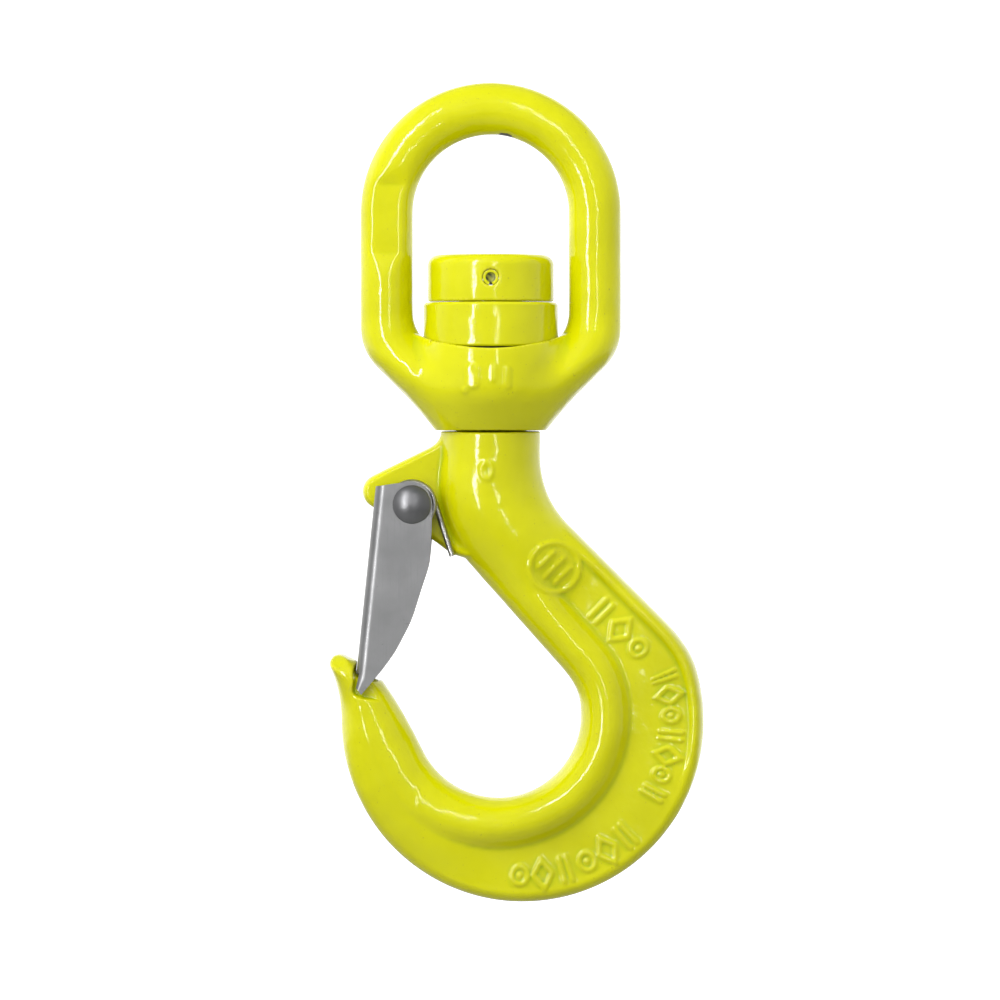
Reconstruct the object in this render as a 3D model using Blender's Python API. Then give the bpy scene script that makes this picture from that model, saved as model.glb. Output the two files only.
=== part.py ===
"""Swivel hook: a forged sling hook that turns on a ball thrust bearing in its bail.

Sizes are in millimetres; add_part() turns them into metres. The origin is the inner crown of the bail
on the swivel axis, +Z runs up that axis, +X points from the tip of the hook to its back, and Y runs
through the thickness of the forging.
"""
from math import acos, atan2, cos, hypot, pi, radians, sin, sqrt, tau

import bmesh
import bpy
from mathutils import Vector

MM = 0.001

# ---- Fits ----
TOUCH = 0.3             # gap between pieces that rest on each other
SLIDE = 0.4             # radial gap between the shank and what turns about it
LATCH_SWEEP = 0.6       # air that the swinging latch keeps to the tip

# ---- Bail ----
BAR = 16.0              # diameter of the loop's bar
LEG_AIR = 3.2           # between the bearing cover and a leg
WINDOW_HEIGHT = 66.1    # from the inner crown to the bearing seat
WINDOW_CORNER = 11.5    # radius of the window's lower corners
SHOULDER_R = 17.0       # outer radius where a leg turns in to the boss
BOSS_DEPTH = 24.6       # from the seat to the lower face
BOSS_RIM = 1.8          # the boss's rim at the seat, outside the cover
BOSS_BELLY = 0.8        # how far its belly swells past that rim
BOSS_BELLY_DROP = 8.0   # the belly, under the seat
BOSS_FOOT_STEP = 0.5    # the boss's lower face, outside the hook's neck
BOSS_EDGE = 1.4         # rounding of its rim and of the corner over its cone
PAD_LENGTH = 31.0       # flat on the front of one leg
PAD_WIDTH = 9.6
PAD_BELOW_CROWN = 10.5
PAD_RAMP = 5.0          # each end of the pad slopes out over this length

# ---- Shank, nut and lock pin ----
SHANK_R = 9.7
SHANK_BELOW_NUT_TOP = 1.5
NUT_R = 19.4
NUT_HEIGHT = 14.3
NUT_EDGE = 3.2
LOCK_PIN_R = 2.4
LOCK_PIN_WALL = 0.9
LOCK_PIN_SLOT = 1.2
LOCK_PIN_SHORT = 0.6    # its ends lie this far inside the nut's skin
LOCK_PIN_RISE = 0.5     # its height in the nut, as a share of the nut

# ---- Thrust bearing under its cover ----
COVER_TAPER = 0.3       # the cover is this much smaller at its top
COVER_WALL = 1.8
COVER_TOP = 2.0
COVER_RIM_GAP = 1.0     # open height between the cover and the seat
COVER_EDGE = 0.8
SPOT_FACE_AIR = 0.6     # the machined seat is this much larger than the cover
BALL_R = 2.778
BALL_COUNT = 12
GROOVE_DEPTH = 0.9
RACE_THICKNESS = 3.8
CAGE_BORE_GAP = 0.8
CAGE_WALL = 1.0         # between a ball's pocket and the cage's edge
CAGE_AIR = 0.678        # between the cage and a race
SEAL_WALL = 0.744
SEAL_LIP = 0.4
SEAL_HEIGHT = 3.0

# ---- Hook forging ----
NECK_R = 15.2
NECK_HEIGHT = 8.1       # straight part of the neck
NECK_BEND_R = 29.3      # hollow of the back where the shank leans out
SHANK_LEAN = radians(45)
THROAT_X = -7.6         # the throat starts here, under the lug
THROAT_DROP = 39.7      # under the neck's top
THROAT_BULGE = 3.8      # swell of the body's side behind the lug
BOWL_R = 25.6
BOWL_X = 2.2
BOWL_DROP = 87.5        # bowl centre, under the neck's top
BACK_R = 55.8           # outer circle of the hook
BACK_OFF_X = 7.6        # its centre, from the bowl's
BACK_OFF_Z = -1.8
BACK_BLEND = 2.4        # softens the corner between the shank's back and the outer circle
BOWL_END = radians(-154)
THROAT_FLAT = 1.2       # the throat runs this much inside the bowl's circle where they meet
THROAT_FADE = radians(30)
SHANK_HALF = 12.5       # half thickness of the shank under the neck
BEAD_WIDTH = 16.0       # rounded inner part of the section
BEAD_HALF = 11.5
WEB_HALF = 6.5          # half thickness of the flatter outer part
TIP_HALF = 10.8
TIP_R = 3.1
TIP_X = -46.7           # centre of the tip's nose
TIP_DROP = 71.6         # under the neck's top
TIP_SHOULDER_X = 10.6   # where the inside of the tip turns in to its nose, from the nose's centre
TIP_SHOULDER_Z = -1.8

# ---- Latch, rivet and spring ----
PIVOT_X = -24.1
PIVOT_DROP = 22.4       # under the neck's top
LUG_HALF = 4.2          # half thickness of the ear that carries the latch
LUG_NOSE_R = 5.3
LUG_NOSE_X = -10.1      # centre of the lug's nose, from the pivot
LUG_NOSE_Z = 3.8
LUG_ROOT_Z = 19.4       # upper root of the lug, above the pivot
LUG_KNEE_X = 6.0        # lower corner of the lug, from the pivot
LUG_KNEE_Z = -11.0
RIVET_R = 4.0
RIVET_HEAD_R = 5.6
RIVET_HEAD_HEIGHT = 2.6
WIRE_R = 0.9
COIL_R = 6.7
COIL_TURNS = 1          # whole turns; the legs add about half a turn
COIL_GAP = 0.1          # air between turns
SPRING_LEG = 19.0       # straight leg beside the lug
SPRING_LEG_LEAN = 0.33  # its run in X for each unit down
SPRING_BRIDGE_DROP = 23.0
SHEET = 2.0             # thickness of the latch's sheet
BEND_R = 3.0
LATCH_BACK = 11.7       # outer face of the web, left of the pivot
LATCH_TOP = 5.5         # top of the latch's back edge, above the pivot
LATCH_CROWN = 7.1       # top of the flange over the pivot
LATCH_FRONT = 6.3       # front of the flange beside the pivot
WEB_END_DROP = 51.9     # end of the web, under the pivot
BEAK_DROP = 58.3        # end of the flanges, under the pivot
BEAK_HEEL = 2.5         # the beak's back corner is this much higher
LATCH_WIDTHS = ((0.18, 18.7), (0.33, 18.8), (0.456, 17.1), (0.614, 15.2),
                (0.774, 11.3), (0.868, 7.9), (1.0, 2.2))  # (share of the drop, flange width)
WEB_NOTCH_DROP = 6.0    # the web's notch for the lug ends this far under the pivot
NOTCH_AIR = 0.8
SEAT_WALL_X = -41.5     # wall in the tip that the closed latch rests on
TONGUE_AIR = 0.5        # between the tip's tongue and a flange

# ---- Places worked out from the sizes ----
CAGE_INSIDE_R = SHANK_R + CAGE_BORE_GAP
PITCH_R = CAGE_INSIDE_R + CAGE_WALL + TOUCH + BALL_R
CAGE_OUTSIDE_R = PITCH_R + BALL_R + TOUCH + CAGE_WALL / 2
RACE_R = PITCH_R + BALL_R
COVER_INSIDE_R = RACE_R + 2 * TOUCH + SEAL_WALL
COVER_R = COVER_INSIDE_R + COVER_WALL + COVER_TAPER
BOSS_SEAT_R = COVER_R + BOSS_RIM
BOSS_BELLY_R = BOSS_SEAT_R + BOSS_BELLY
BOSS_FOOT_R = NECK_R + BOSS_FOOT_STEP

BAR_R = BAR / 2
HALF_WINDOW = COVER_R + LEG_AIR
ARCH_Z = -HALF_WINDOW
SEAT_Z = -WINDOW_HEIGHT
BOSS_FOOT_Z = SEAT_Z - BOSS_DEPTH
BORE_R = SHANK_R + SLIDE
NECK_Z = BOSS_FOOT_Z - TOUCH

BALL_TO_RACE = BALL_R + TOUCH - GROOVE_DEPTH
LOWER_RACE_Z = SEAT_Z + TOUCH
BALL_Z = LOWER_RACE_Z + RACE_THICKNESS + BALL_TO_RACE
UPPER_RACE_Z = BALL_Z + BALL_TO_RACE
COVER_INSIDE_Z = UPPER_RACE_Z + RACE_THICKNESS + TOUCH
NUT_Z = COVER_INSIDE_Z + COVER_TOP + TOUCH
NUT_TOP_Z = NUT_Z + NUT_HEIGHT
SHANK_TOP_Z = NUT_TOP_Z - SHANK_BELOW_NUT_TOP
LOCK_PIN_Z = NUT_Z + NUT_HEIGHT * LOCK_PIN_RISE

COIL_PITCH = 2 * WIRE_R + COIL_GAP
COIL_Y = LUG_HALF + TOUCH + WIRE_R
COIL_END_Y = COIL_Y + (COIL_TURNS + 0.5) * COIL_PITCH
FLANGE_Y = COIL_END_Y + WIRE_R + TOUCH
LATCH_HALF = FLANGE_Y + SHEET
TONGUE_HALF = FLANGE_Y - TONGUE_AIR

PIVOT = Vector((PIVOT_X, NECK_Z - PIVOT_DROP))
BOWL = Vector((BOWL_X, NECK_Z - BOWL_DROP))
BACK = BOWL + Vector((BACK_OFF_X, BACK_OFF_Z))
TIP = Vector((TIP_X, NECK_Z - TIP_DROP))
THROAT = Vector((THROAT_X, NECK_Z - THROAT_DROP))
BEND = Vector((NECK_R + NECK_BEND_R, NECK_Z - NECK_HEIGHT))

LATCH_LEAN = (PIVOT_X - SEAT_WALL_X - TOUCH - LATCH_BACK) / WEB_END_DROP
WEB_SWEEP_R = hypot(LATCH_BACK + LATCH_LEAN * WEB_END_DROP, WEB_END_DROP) + LATCH_SWEEP
BEAK_SWEEP_R = hypot(LATCH_BACK + LATCH_LEAN * BEAK_DROP - LATCH_WIDTHS[-1][1], BEAK_DROP) + LATCH_SWEEP


# ---- Plane geometry, in X and Z ----
def polar(centre, radius, angle):
    return Vector((centre[0] + radius * cos(angle), centre[1] + radius * sin(angle)))


def arc(centre, radius, start, end, steps):
    return [polar(centre, radius, start + (end - start) * i / steps) for i in range(steps + 1)]


def line(start, end, steps):
    start, end = Vector(start), Vector(end)
    return [start.lerp(end, i / steps) for i in range(steps + 1)]


def tangent_angle(centre, radius, point, side):
    """Where on a circle the line from an outside point touches it; side is 1 or -1."""
    away = Vector(point) - Vector(centre)
    return atan2(away.y, away.x) + side * acos(radius / away.length)


def arc_along(start, heading, end, steps):
    """The arc that leaves start along heading and ends at end."""
    chord = Vector(end) - Vector(start)
    heading = Vector(heading).normalized()
    side = 1 if heading.cross(chord) > 0 else -1
    normal = Vector((-heading.y, heading.x)) * side
    half_turn = heading.angle(chord)
    radius = chord.length / (2 * sin(half_turn))
    turns = [2 * half_turn * i / steps for i in range(steps + 1)]
    return [start + radius * (sin(t) * heading + (1 - cos(t)) * normal) for t in turns]


def evenly(points, steps):
    """The same polyline with its points spaced evenly along it."""
    lengths = [0.0]
    for a, b in zip(points, points[1:]):
        lengths.append(lengths[-1] + (b - a).length)
    out = []
    k = 0
    for i in range(steps + 1):
        want = lengths[-1] * i / steps
        while k < len(points) - 2 and lengths[k + 1] < want:
            k += 1
        out.append(points[k].lerp(points[k + 1], (want - lengths[k]) / (lengths[k + 1] - lengths[k])))
    return out


# ---- Mesh building ----
def material(name, colour, metallic, roughness):
    mat = bpy.data.materials.new(name)
    mat.use_nodes = True
    shader = mat.node_tree.nodes["Principled BSDF"]
    shader.inputs["Base Color"].default_value = (*colour, 1.0)
    shader.inputs["Metallic"].default_value = metallic
    shader.inputs["Roughness"].default_value = roughness
    return mat


def turned(profile, steps):
    """A profile of (radius, height) points turned about Z; it is closed, or it starts and ends on Z."""
    bm = bmesh.new()
    verts = [bm.verts.new((r, 0, z)) for r, z in profile]
    edges = [bm.edges.new(pair) for pair in zip(verts, verts[1:])]
    if profile[0][0] > 0:
        edges.append(bm.edges.new((verts[-1], verts[0])))
    bmesh.ops.spin(bm, geom=verts + edges, cent=(0, 0, 0), axis=(0, 0, 1), angle=tau, steps=steps,
                   use_merge=True)
    bmesh.ops.remove_doubles(bm, verts=bm.verts, dist=1e-4)
    return bm


def prism(outline, y_low, y_high):
    """An outline in X and Z, drawn out along Y."""
    bm = bmesh.new()
    face = bm.faces.new([bm.verts.new((x, y_low, z)) for x, z in outline])
    drawn = bmesh.ops.extrude_face_region(bm, geom=[face])
    moved = [v for v in drawn["geom"] if isinstance(v, bmesh.types.BMVert)]
    bmesh.ops.translate(bm, verts=moved, vec=(0, y_high - y_low, 0))
    return bm


def loft(rings):
    """Rings with equal counts of points, skinned one after the other, with flat ends."""
    bm = bmesh.new()
    loops = [[bm.verts.new(point) for point in ring] for ring in rings]
    count = len(rings[0])
    for a, b in zip(loops, loops[1:]):
        for i in range(count):
            j = (i + 1) % count
            bm.faces.new((a[i], a[j], b[j], b[i]))
    bm.faces.new(loops[0])
    bm.faces.new(loops[-1])
    return bm


def rod(radius, y_low, y_high, centre, steps):
    """A round bar along Y."""
    return prism(arc(centre, radius, 0, tau, steps)[:-1], y_low, y_high)


def block(low, high):
    """A plain box between two corners."""
    bm = bmesh.new()
    bmesh.ops.create_cube(bm, size=1)
    low, high = Vector(low), Vector(high)
    bmesh.ops.scale(bm, verts=bm.verts, vec=high - low)
    bmesh.ops.translate(bm, verts=bm.verts, vec=(low + high) / 2)
    return bm


def add_part(name, bm, mat, origin=(0, 0, 0)):
    """Put a mesh in the scene as an object whose own origin is at the point given."""
    bmesh.ops.recalc_face_normals(bm, faces=bm.faces)
    bmesh.ops.translate(bm, verts=bm.verts, vec=-Vector(origin))
    bmesh.ops.scale(bm, verts=bm.verts, vec=(MM, MM, MM))
    mesh = bpy.data.meshes.new(name)
    bm.to_mesh(mesh)
    bm.free()
    mesh.materials.append(mat)
    mesh.shade_smooth()
    mesh.set_sharp_from_angle(angle=radians(32))
    part = bpy.data.objects.new(name, mesh)
    part.location = Vector(origin) * MM
    bpy.context.collection.objects.link(part)
    return part


def combine(part, operation, name, bm):
    """Join a mesh to a part, or cut it away; the helper stays in the scene as a wire guide."""
    helper = add_part(name, bm, part.data.materials[0])
    helper.display_type = "WIRE"
    helper.hide_render = True
    boolean = part.modifiers.new(name, "BOOLEAN")
    boolean.operation = operation
    boolean.object = helper


def unite(part, name, bm):
    combine(part, "UNION", name, bm)


def cut(part, name, bm):
    combine(part, "DIFFERENCE", name, bm)


# ---- Bail ----
def bail_stations():
    """(outer point, inner point, half thickness) from the left end, over the arch, to the right end."""
    cone = Vector((-1, -1)).normalized()
    outer_turn = (HALF_WINDOW + BAR - SHOULDER_R, BOSS_FOOT_Z + cone_height())
    inner_turn = (HALF_WINDOW - WINDOW_CORNER, SEAT_Z + WINDOW_CORNER - TOUCH)
    outer = arc(outer_turn, SHOULDER_R, 0, -pi / 4, 6)
    inner = arc(inner_turn, WINDOW_CORNER, 0, -pi / 2, 6)
    halves = [BAR_R + (BOSS_FOOT_R - BAR_R) * 0.5 * (i / 6) ** 2 for i in range(7)]
    right = [(o, i, h) for o, i, h in zip(outer, inner, halves)]
    ends = ((0.45, 0.35, 12.5), (0.8, 0.8, 11.0))
    foot = Vector((BOSS_FOOT_R, BOSS_FOOT_Z))
    seat_end = Vector((SHANK_R / 2, SEAT_Z))
    for along_out, along_in, half in ends:
        sunk = Vector((0, -TOUCH))
        right.append((outer[-1].lerp(foot, along_out), inner[-1].lerp(seat_end, along_in) + sunk, half))
    mirrored = [(Vector((-o.x, o.y)), Vector((-i.x, i.y)), h) for o, i, h in reversed(right)]
    arch_out = arc((0, ARCH_Z), HALF_WINDOW + BAR, pi, 0, 28)
    arch_in = arc((0, ARCH_Z), HALF_WINDOW, pi, 0, 28)
    return mirrored + [(o, i, BAR_R) for o, i in zip(arch_out, arch_in)] + right


def cone_height():
    """Height of the shoulder arc's centre over the boss's foot, so that the arc runs into a 45 degree cone."""
    flat = HALF_WINDOW + BAR - SHOULDER_R + SHOULDER_R * cos(pi / 4) - BOSS_FOOT_R
    return flat + SHOULDER_R * sin(pi / 4)


def oval_ring(outer, inner, half, count):
    """An oval between two points of the XZ plane."""
    centre = (outer + inner) / 2
    reach = (outer - inner) / 2
    ring = []
    for i in range(count):
        angle = tau * i / count
        place = centre + reach * cos(angle)
        ring.append((place.x, half * sin(angle), place.y))
    return ring


def make_bail(paint):
    loop = loft([oval_ring(o, i, h, 20) for o, i, h in bail_stations()])
    bail = add_part("bail", loop, paint)
    cut(bail, "pad_cutter", pad_block())
    cone_r = BOSS_BELLY_R - BOSS_EDGE
    boss = [(0, SEAT_Z + BOSS_EDGE / 3), (COVER_R, SEAT_Z + BOSS_EDGE / 3), (BOSS_SEAT_R, SEAT_Z - BOSS_EDGE),
            (BOSS_BELLY_R, SEAT_Z - BOSS_BELLY_DROP),
            (BOSS_BELLY_R, BOSS_FOOT_Z + BOSS_BELLY_R - BOSS_FOOT_R + BOSS_EDGE / 2),
            (cone_r, BOSS_FOOT_Z + cone_r - BOSS_FOOT_R), (BOSS_FOOT_R, BOSS_FOOT_Z), (0, BOSS_FOOT_Z)]
    unite(bail, "boss_blank", turned(boss, 48))
    seat_r = COVER_R + SPOT_FACE_AIR
    seat = [(0, SEAT_Z), (seat_r, SEAT_Z), (seat_r, NUT_TOP_Z), (0, NUT_TOP_Z)]
    cut(bail, "seat_cutter", turned(seat, 48))
    bore = [(0, BOSS_FOOT_Z - 1), (BORE_R, BOSS_FOOT_Z - 1), (BORE_R, SEAT_Z + 1), (0, SEAT_Z + 1)]
    cut(bail, "bore_cutter", turned(bore, 48))


def pad_block():
    """A block with sloped ends, which planes the flat on the front of the left leg."""
    depth = BAR_R - sqrt(BAR_R ** 2 - (PAD_WIDTH / 2) ** 2)
    top, low = -PAD_BELOW_CROWN, -PAD_BELOW_CROWN - PAD_LENGTH
    face, air = -BAR_R + depth, -BAR_R - 1
    slope = PAD_RAMP * (face - air) / depth
    side = [(air, top + slope - PAD_RAMP), (face, top - PAD_RAMP), (face, low + PAD_RAMP),
            (air, low - slope + PAD_RAMP)]
    left, right = -HALF_WINDOW - BAR - 1, -HALF_WINDOW + 1
    return loft([[(x, y, z) for y, z in side] for x in (left, right)])


# ---- Nut, pin and bearing ----
def make_nut(paint):
    edge = arc((NUT_R - NUT_EDGE, NUT_TOP_Z - NUT_EDGE), NUT_EDGE, 0, pi / 2, 5)
    bore = SHANK_R + TOUCH
    profile = [(bore, NUT_Z), (NUT_R - 0.4, NUT_Z), (NUT_R, NUT_Z + 0.4), *edge, (bore + 0.8, NUT_TOP_Z),
               (bore, NUT_TOP_Z - 0.8)]
    nut = add_part("swivel_nut", turned(profile, 48), paint)
    cut(nut, "nut_pin_hole", rod(LOCK_PIN_R + TOUCH, -NUT_R - 1, NUT_R + 1, (0, LOCK_PIN_Z), 16))


def make_lock_pin(steel):
    open_angle = LOCK_PIN_SLOT / LOCK_PIN_R / 2
    centre = (0, LOCK_PIN_Z)
    start, end = pi / 2 + open_angle, pi / 2 + tau - open_angle
    outline = arc(centre, LOCK_PIN_R, start, end, 18)
    outline += arc(centre, LOCK_PIN_R - LOCK_PIN_WALL, end, start, 14)
    half = NUT_R - LOCK_PIN_SHORT
    add_part("nut_lock_pin", prism(outline, -half, half), steel)


def make_cover(paint):
    top_z = COVER_INSIDE_Z + COVER_TOP
    rim_z = SEAT_Z + COVER_RIM_GAP
    top_r = COVER_R - COVER_TAPER
    rim = arc((COVER_R - COVER_EDGE, rim_z + COVER_EDGE), COVER_EDGE, 0, -pi / 2, 3)
    profile = [(BORE_R, COVER_INSIDE_Z), (BORE_R, top_z), (top_r - 0.6, top_z), (top_r, top_z - 0.6),
               *rim, (COVER_INSIDE_R, rim_z), (COVER_INSIDE_R, COVER_INSIDE_Z)]
    add_part("bearing_cover", turned(profile, 48), paint)


def race(face_z, back_z):
    """A grooved ring; its groove is in the face, and face_z is that face's height."""
    groove_r = BALL_R + TOUCH
    half_width = sqrt(groove_r ** 2 - BALL_TO_RACE ** 2)
    toward = -1 if face_z < BALL_Z else 1
    middle = toward * pi / 2
    spread = atan2(half_width, BALL_TO_RACE)
    groove = arc((PITCH_R, BALL_Z), groove_r, middle + toward * spread, middle - toward * spread, 6)
    return turned([(BORE_R, face_z), *groove, (RACE_R, face_z), (RACE_R, back_z), (BORE_R, back_z)], 40)


def make_bearing(steel, brass, rubber):
    lower_face = LOWER_RACE_Z + RACE_THICKNESS
    add_part("lower_race", race(lower_face, LOWER_RACE_Z), steel)
    add_part("upper_race", race(UPPER_RACE_Z, UPPER_RACE_Z + RACE_THICKNESS), steel)
    half_cage = BALL_TO_RACE - CAGE_AIR
    low, high = BALL_Z - half_cage, BALL_Z + half_cage
    ring = [(CAGE_INSIDE_R, low), (CAGE_OUTSIDE_R, low), (CAGE_OUTSIDE_R, high), (CAGE_INSIDE_R, high)]
    cage = add_part("ball_cage", turned(ring, 48), brass)
    pockets = bmesh.new()
    for i in range(BALL_COUNT):
        angle = tau * i / BALL_COUNT
        place = (PITCH_R * cos(angle), PITCH_R * sin(angle), BALL_Z)
        ball = bmesh.new()
        bmesh.ops.create_icosphere(ball, subdivisions=2, radius=BALL_R)
        bmesh.ops.translate(ball, verts=ball.verts, vec=place)
        add_part(f"ball_{i + 1:02d}", ball, steel, place)
        pocket = bmesh.ops.create_cone(pockets, cap_ends=True, segments=16, radius1=BALL_R + TOUCH,
                                       radius2=BALL_R + TOUCH, depth=2 * half_cage + 1)
        bmesh.ops.translate(pockets, verts=pocket["verts"], vec=place)
    cut(cage, "pocket_cutter", pockets)
    inside, outside = RACE_R + TOUCH, COVER_INSIDE_R - TOUCH
    top, foot = SEAT_Z + TOUCH + SEAL_HEIGHT, SEAT_Z + TOUCH
    lip = COVER_R - COVER_EDGE
    seal = [(inside, foot), (lip, foot), (lip, foot + SEAL_LIP), (outside, foot + SEAL_LIP),
            (outside, top), (inside, top)]
    add_part("dust_seal", turned(seal, 48), rubber)


# ---- Hook forging ----
def shank_distance(angle):
    """From the bowl's centre to the straight back of the shank, in the direction of an angle."""
    on_line = polar(BEND, NECK_BEND_R, pi + SHANK_LEAN)
    normal = Vector((cos(SHANK_LEAN), sin(SHANK_LEAN)))
    return (on_line - BOWL).dot(normal) / cos(angle - SHANK_LEAN)


def circle_distance(angle):
    """From the bowl's centre to the hook's outer circle, in the direction of an angle."""
    ray = Vector((cos(angle), sin(angle)))
    off = BACK - BOWL
    return off.dot(ray) + sqrt(BACK_R ** 2 - off.cross(ray) ** 2)


def back_point(angle):
    """The hook's outer edge: the shank's back and the outer circle, with the corner softened."""
    circle = circle_distance(angle)
    if abs(angle - SHANK_LEAN) > radians(75):
        return polar(BOWL, circle, angle)
    shank = shank_distance(angle)
    overlap = max(BACK_BLEND - abs(circle - shank), 0) / BACK_BLEND
    return polar(BOWL, min(circle, shank) - overlap ** 2 * BACK_BLEND / 4, angle)


def hook_stations():
    """(inner point, outer point, half thickness if round, share of bead and web) from neck to tip."""
    neck = []
    for drop in (0, 0.5, 1):
        z = NECK_Z - NECK_HEIGHT * drop
        neck.append((Vector((-NECK_R, z)), Vector((NECK_R, z)), NECK_R, 0))

    bend = []
    lead = 0.62                     # share of the back's bend that lies above the throat
    start = Vector((-NECK_R, NECK_Z - NECK_HEIGHT))
    swell = Vector((-NECK_R - THROAT_BULGE, (start.y + THROAT.y) / 2))
    for i in range(1, 8):
        t = i / 7
        inner = start.lerp(swell, t).lerp(swell.lerp(THROAT, t), t)
        outer = polar(BEND, NECK_BEND_R, pi + SHANK_LEAN * lead * t)
        half = NECK_R + (SHANK_HALF - NECK_R) * t
        bend.append((inner, outer, half, 0.8 * t * t))

    touch = tangent_angle(BOWL, BOWL_R - THROAT_FLAT, THROAT, -1)
    inner = line(THROAT, polar(BOWL, BOWL_R - THROAT_FLAT, touch), 6)
    rest = arc(BEND, NECK_BEND_R, pi + SHANK_LEAN * lead, pi + SHANK_LEAN, 3)
    outer = evenly(rest + [back_point(touch)], 6)
    throat = [(i, o, BEAD_HALF, 1) for i, o in zip(inner[1:], outer[1:])]

    bowl = []
    for i in range(1, 27):
        angle = touch + (BOWL_END - touch) * i / 26
        fade = min(max((angle - BOWL_END) / radians(60), 0), 1)
        near = min(max(1 - (touch - angle) / THROAT_FADE, 0), 1)
        inside = polar(BOWL, BOWL_R - THROAT_FLAT * near ** 2 * (3 - 2 * near), angle)
        bowl.append((inside, back_point(angle), BEAD_HALF, 0.3 + 0.7 * fade))

    heading = (sin(BOWL_END), -cos(BOWL_END))
    shoulder = TIP + Vector((TIP_SHOULDER_X, TIP_SHOULDER_Z))
    inside = arc_along(polar(BOWL, BOWL_R, BOWL_END), heading, shoulder, 8)
    inner = evenly(inside + [polar(TIP, TIP_R, radians(70))], 9)
    last = back_point(BOWL_END) - BACK
    circle = arc(BACK, BACK_R, atan2(last.y, last.x), -pi, 4)
    outer = evenly(circle + arc_along(circle[-1], (0, 1), polar(TIP, TIP_R, radians(190)), 6)[1:], 9)
    tip = []
    for i in range(1, 10):
        t = i / 9
        half = BEAD_HALF + (TIP_HALF - BEAD_HALF) * t
        tip.append((inner[i], outer[i], half * (1 if i < 9 else 0.82), 0.3 * (1 - t)))
    nose = (polar(TIP, TIP_R, radians(82)), polar(TIP, TIP_R, radians(155)), TIP_HALF * 0.55, 0)
    return neck + bend + throat + bowl + tip + [nose]


def hook_ring(inner, outer, round_half, beaded):
    """A section between two points: an oval, mixed with a round bead that has a flat web outside it."""
    count = 14
    width = (outer - inner).length
    bead_r = min(BEAD_WIDTH, width) / 2
    halves = []
    for k in range(count + 1):
        across = width * (1 - cos(pi * k / count)) / 2
        oval = round_half * sqrt(max(1 - (2 * across / width - 1) ** 2, 0))
        bead = BEAD_HALF * sqrt(max(1 - (across / bead_r - 1) ** 2, 0))
        edge = min(max(across - (width - WEB_HALF), 0) / WEB_HALF, 1)
        web = WEB_HALF * sqrt(1 - edge ** 2) if across > bead_r else 0
        halves.append((across / width, oval + (max(bead, web) - oval) * beaded))
    ring = []
    for share, half in halves:
        place = inner.lerp(outer, share)
        ring.append((place.x, -half, place.y))
    for share, half in reversed(halves[1:-1]):
        place = inner.lerp(outer, share)
        ring.append((place.x, half, place.y))
    return ring


def lug_outline():
    nose = PIVOT + Vector((LUG_NOSE_X, LUG_NOSE_Z))
    root = Vector((-NECK_R + 0.8, PIVOT.y + LUG_ROOT_Z))
    knee = PIVOT + Vector((LUG_KNEE_X, LUG_KNEE_Z))
    start = tangent_angle(nose, LUG_NOSE_R, root, 1)
    end = tangent_angle(nose, LUG_NOSE_R, knee, -1) + tau
    inside = [(THROAT.x + 6, THROAT.y + 8), (THROAT.x + 6, root.y - 4)]
    ledge = (THROAT.x - 4.4, THROAT.y + 1.7)
    return [root, *arc(nose, LUG_NOSE_R, start, end, 10), knee, ledge, THROAT, *inside]


def back_line(drop):
    """X of the latch's outer face at a drop under the pivot, from the pivot."""
    return -LATCH_BACK - LATCH_LEAN * drop


def sweep_outline(radius):
    """What the swinging latch passes through at the tip: right of the seat's wall, above an arc."""
    wall_top = WEB_END_DROP * 0.8
    drop = sqrt(radius ** 2 - (LATCH_BACK + LATCH_LEAN * radius) ** 2)
    start = atan2(-drop, back_line(drop) - TOUCH)
    points = arc(PIVOT, radius, start, -pi / 2, 8)
    wall = Vector((back_line(wall_top) - TOUCH, -wall_top))
    points[0] = PIVOT + Vector((back_line(drop) - TOUCH, -drop))
    return [PIVOT + wall, *points, PIVOT + Vector((0, -wall_top))]


def make_hook(paint):
    hook = add_part("hook_body", loft([hook_ring(*s) for s in hook_stations()]), paint)
    shank = [(0, NECK_Z - NECK_R / 2), (SHANK_R, NECK_Z - NECK_R / 2), (SHANK_R, SHANK_TOP_Z - 1),
             (SHANK_R - 1, SHANK_TOP_Z), (0, SHANK_TOP_Z)]
    unite(hook, "shank_blank", turned(shank, 48))
    unite(hook, "lug_blank", prism(lug_outline(), -LUG_HALF, LUG_HALF))
    cut(hook, "rivet_hole", rod(RIVET_R + TOUCH, -NECK_R * 2, NECK_R * 2, PIVOT, 24))
    cut(hook, "shank_pin_hole", rod(LOCK_PIN_R + TOUCH, -NUT_R, NUT_R, (0, LOCK_PIN_Z), 16))
    wide = TIP_HALF + 2
    cut(hook, "tip_clearance", prism(sweep_outline(WEB_SWEEP_R), -wide, wide))
    cut(hook, "tip_recess_front", prism(sweep_outline(BEAK_SWEEP_R), -wide - 1, -TONGUE_HALF))
    cut(hook, "tip_recess_back", prism(sweep_outline(BEAK_SWEEP_R), TONGUE_HALF, wide + 1))


# ---- Latch ----
def latch_outline():
    """The flange, from the top of its back edge, down the back, up the front and over the pivot."""
    heel = BEAK_DROP - BEAK_HEEL
    points = [Vector((back_line(-LATCH_TOP), LATCH_TOP)), Vector((back_line(heel), -heel))]
    for share, width in reversed(LATCH_WIDTHS):
        drop = BEAK_DROP * share
        points.append(Vector((back_line(drop) + width, -drop)))
    crown = [Vector((LATCH_FRONT * cos(a), LATCH_CROWN * sin(a))) for a in
             (0, pi / 10, pi / 5, 3 * pi / 10, 2 * pi / 5, pi / 2)]
    return [PIVOT + p for p in points + crown]


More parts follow.
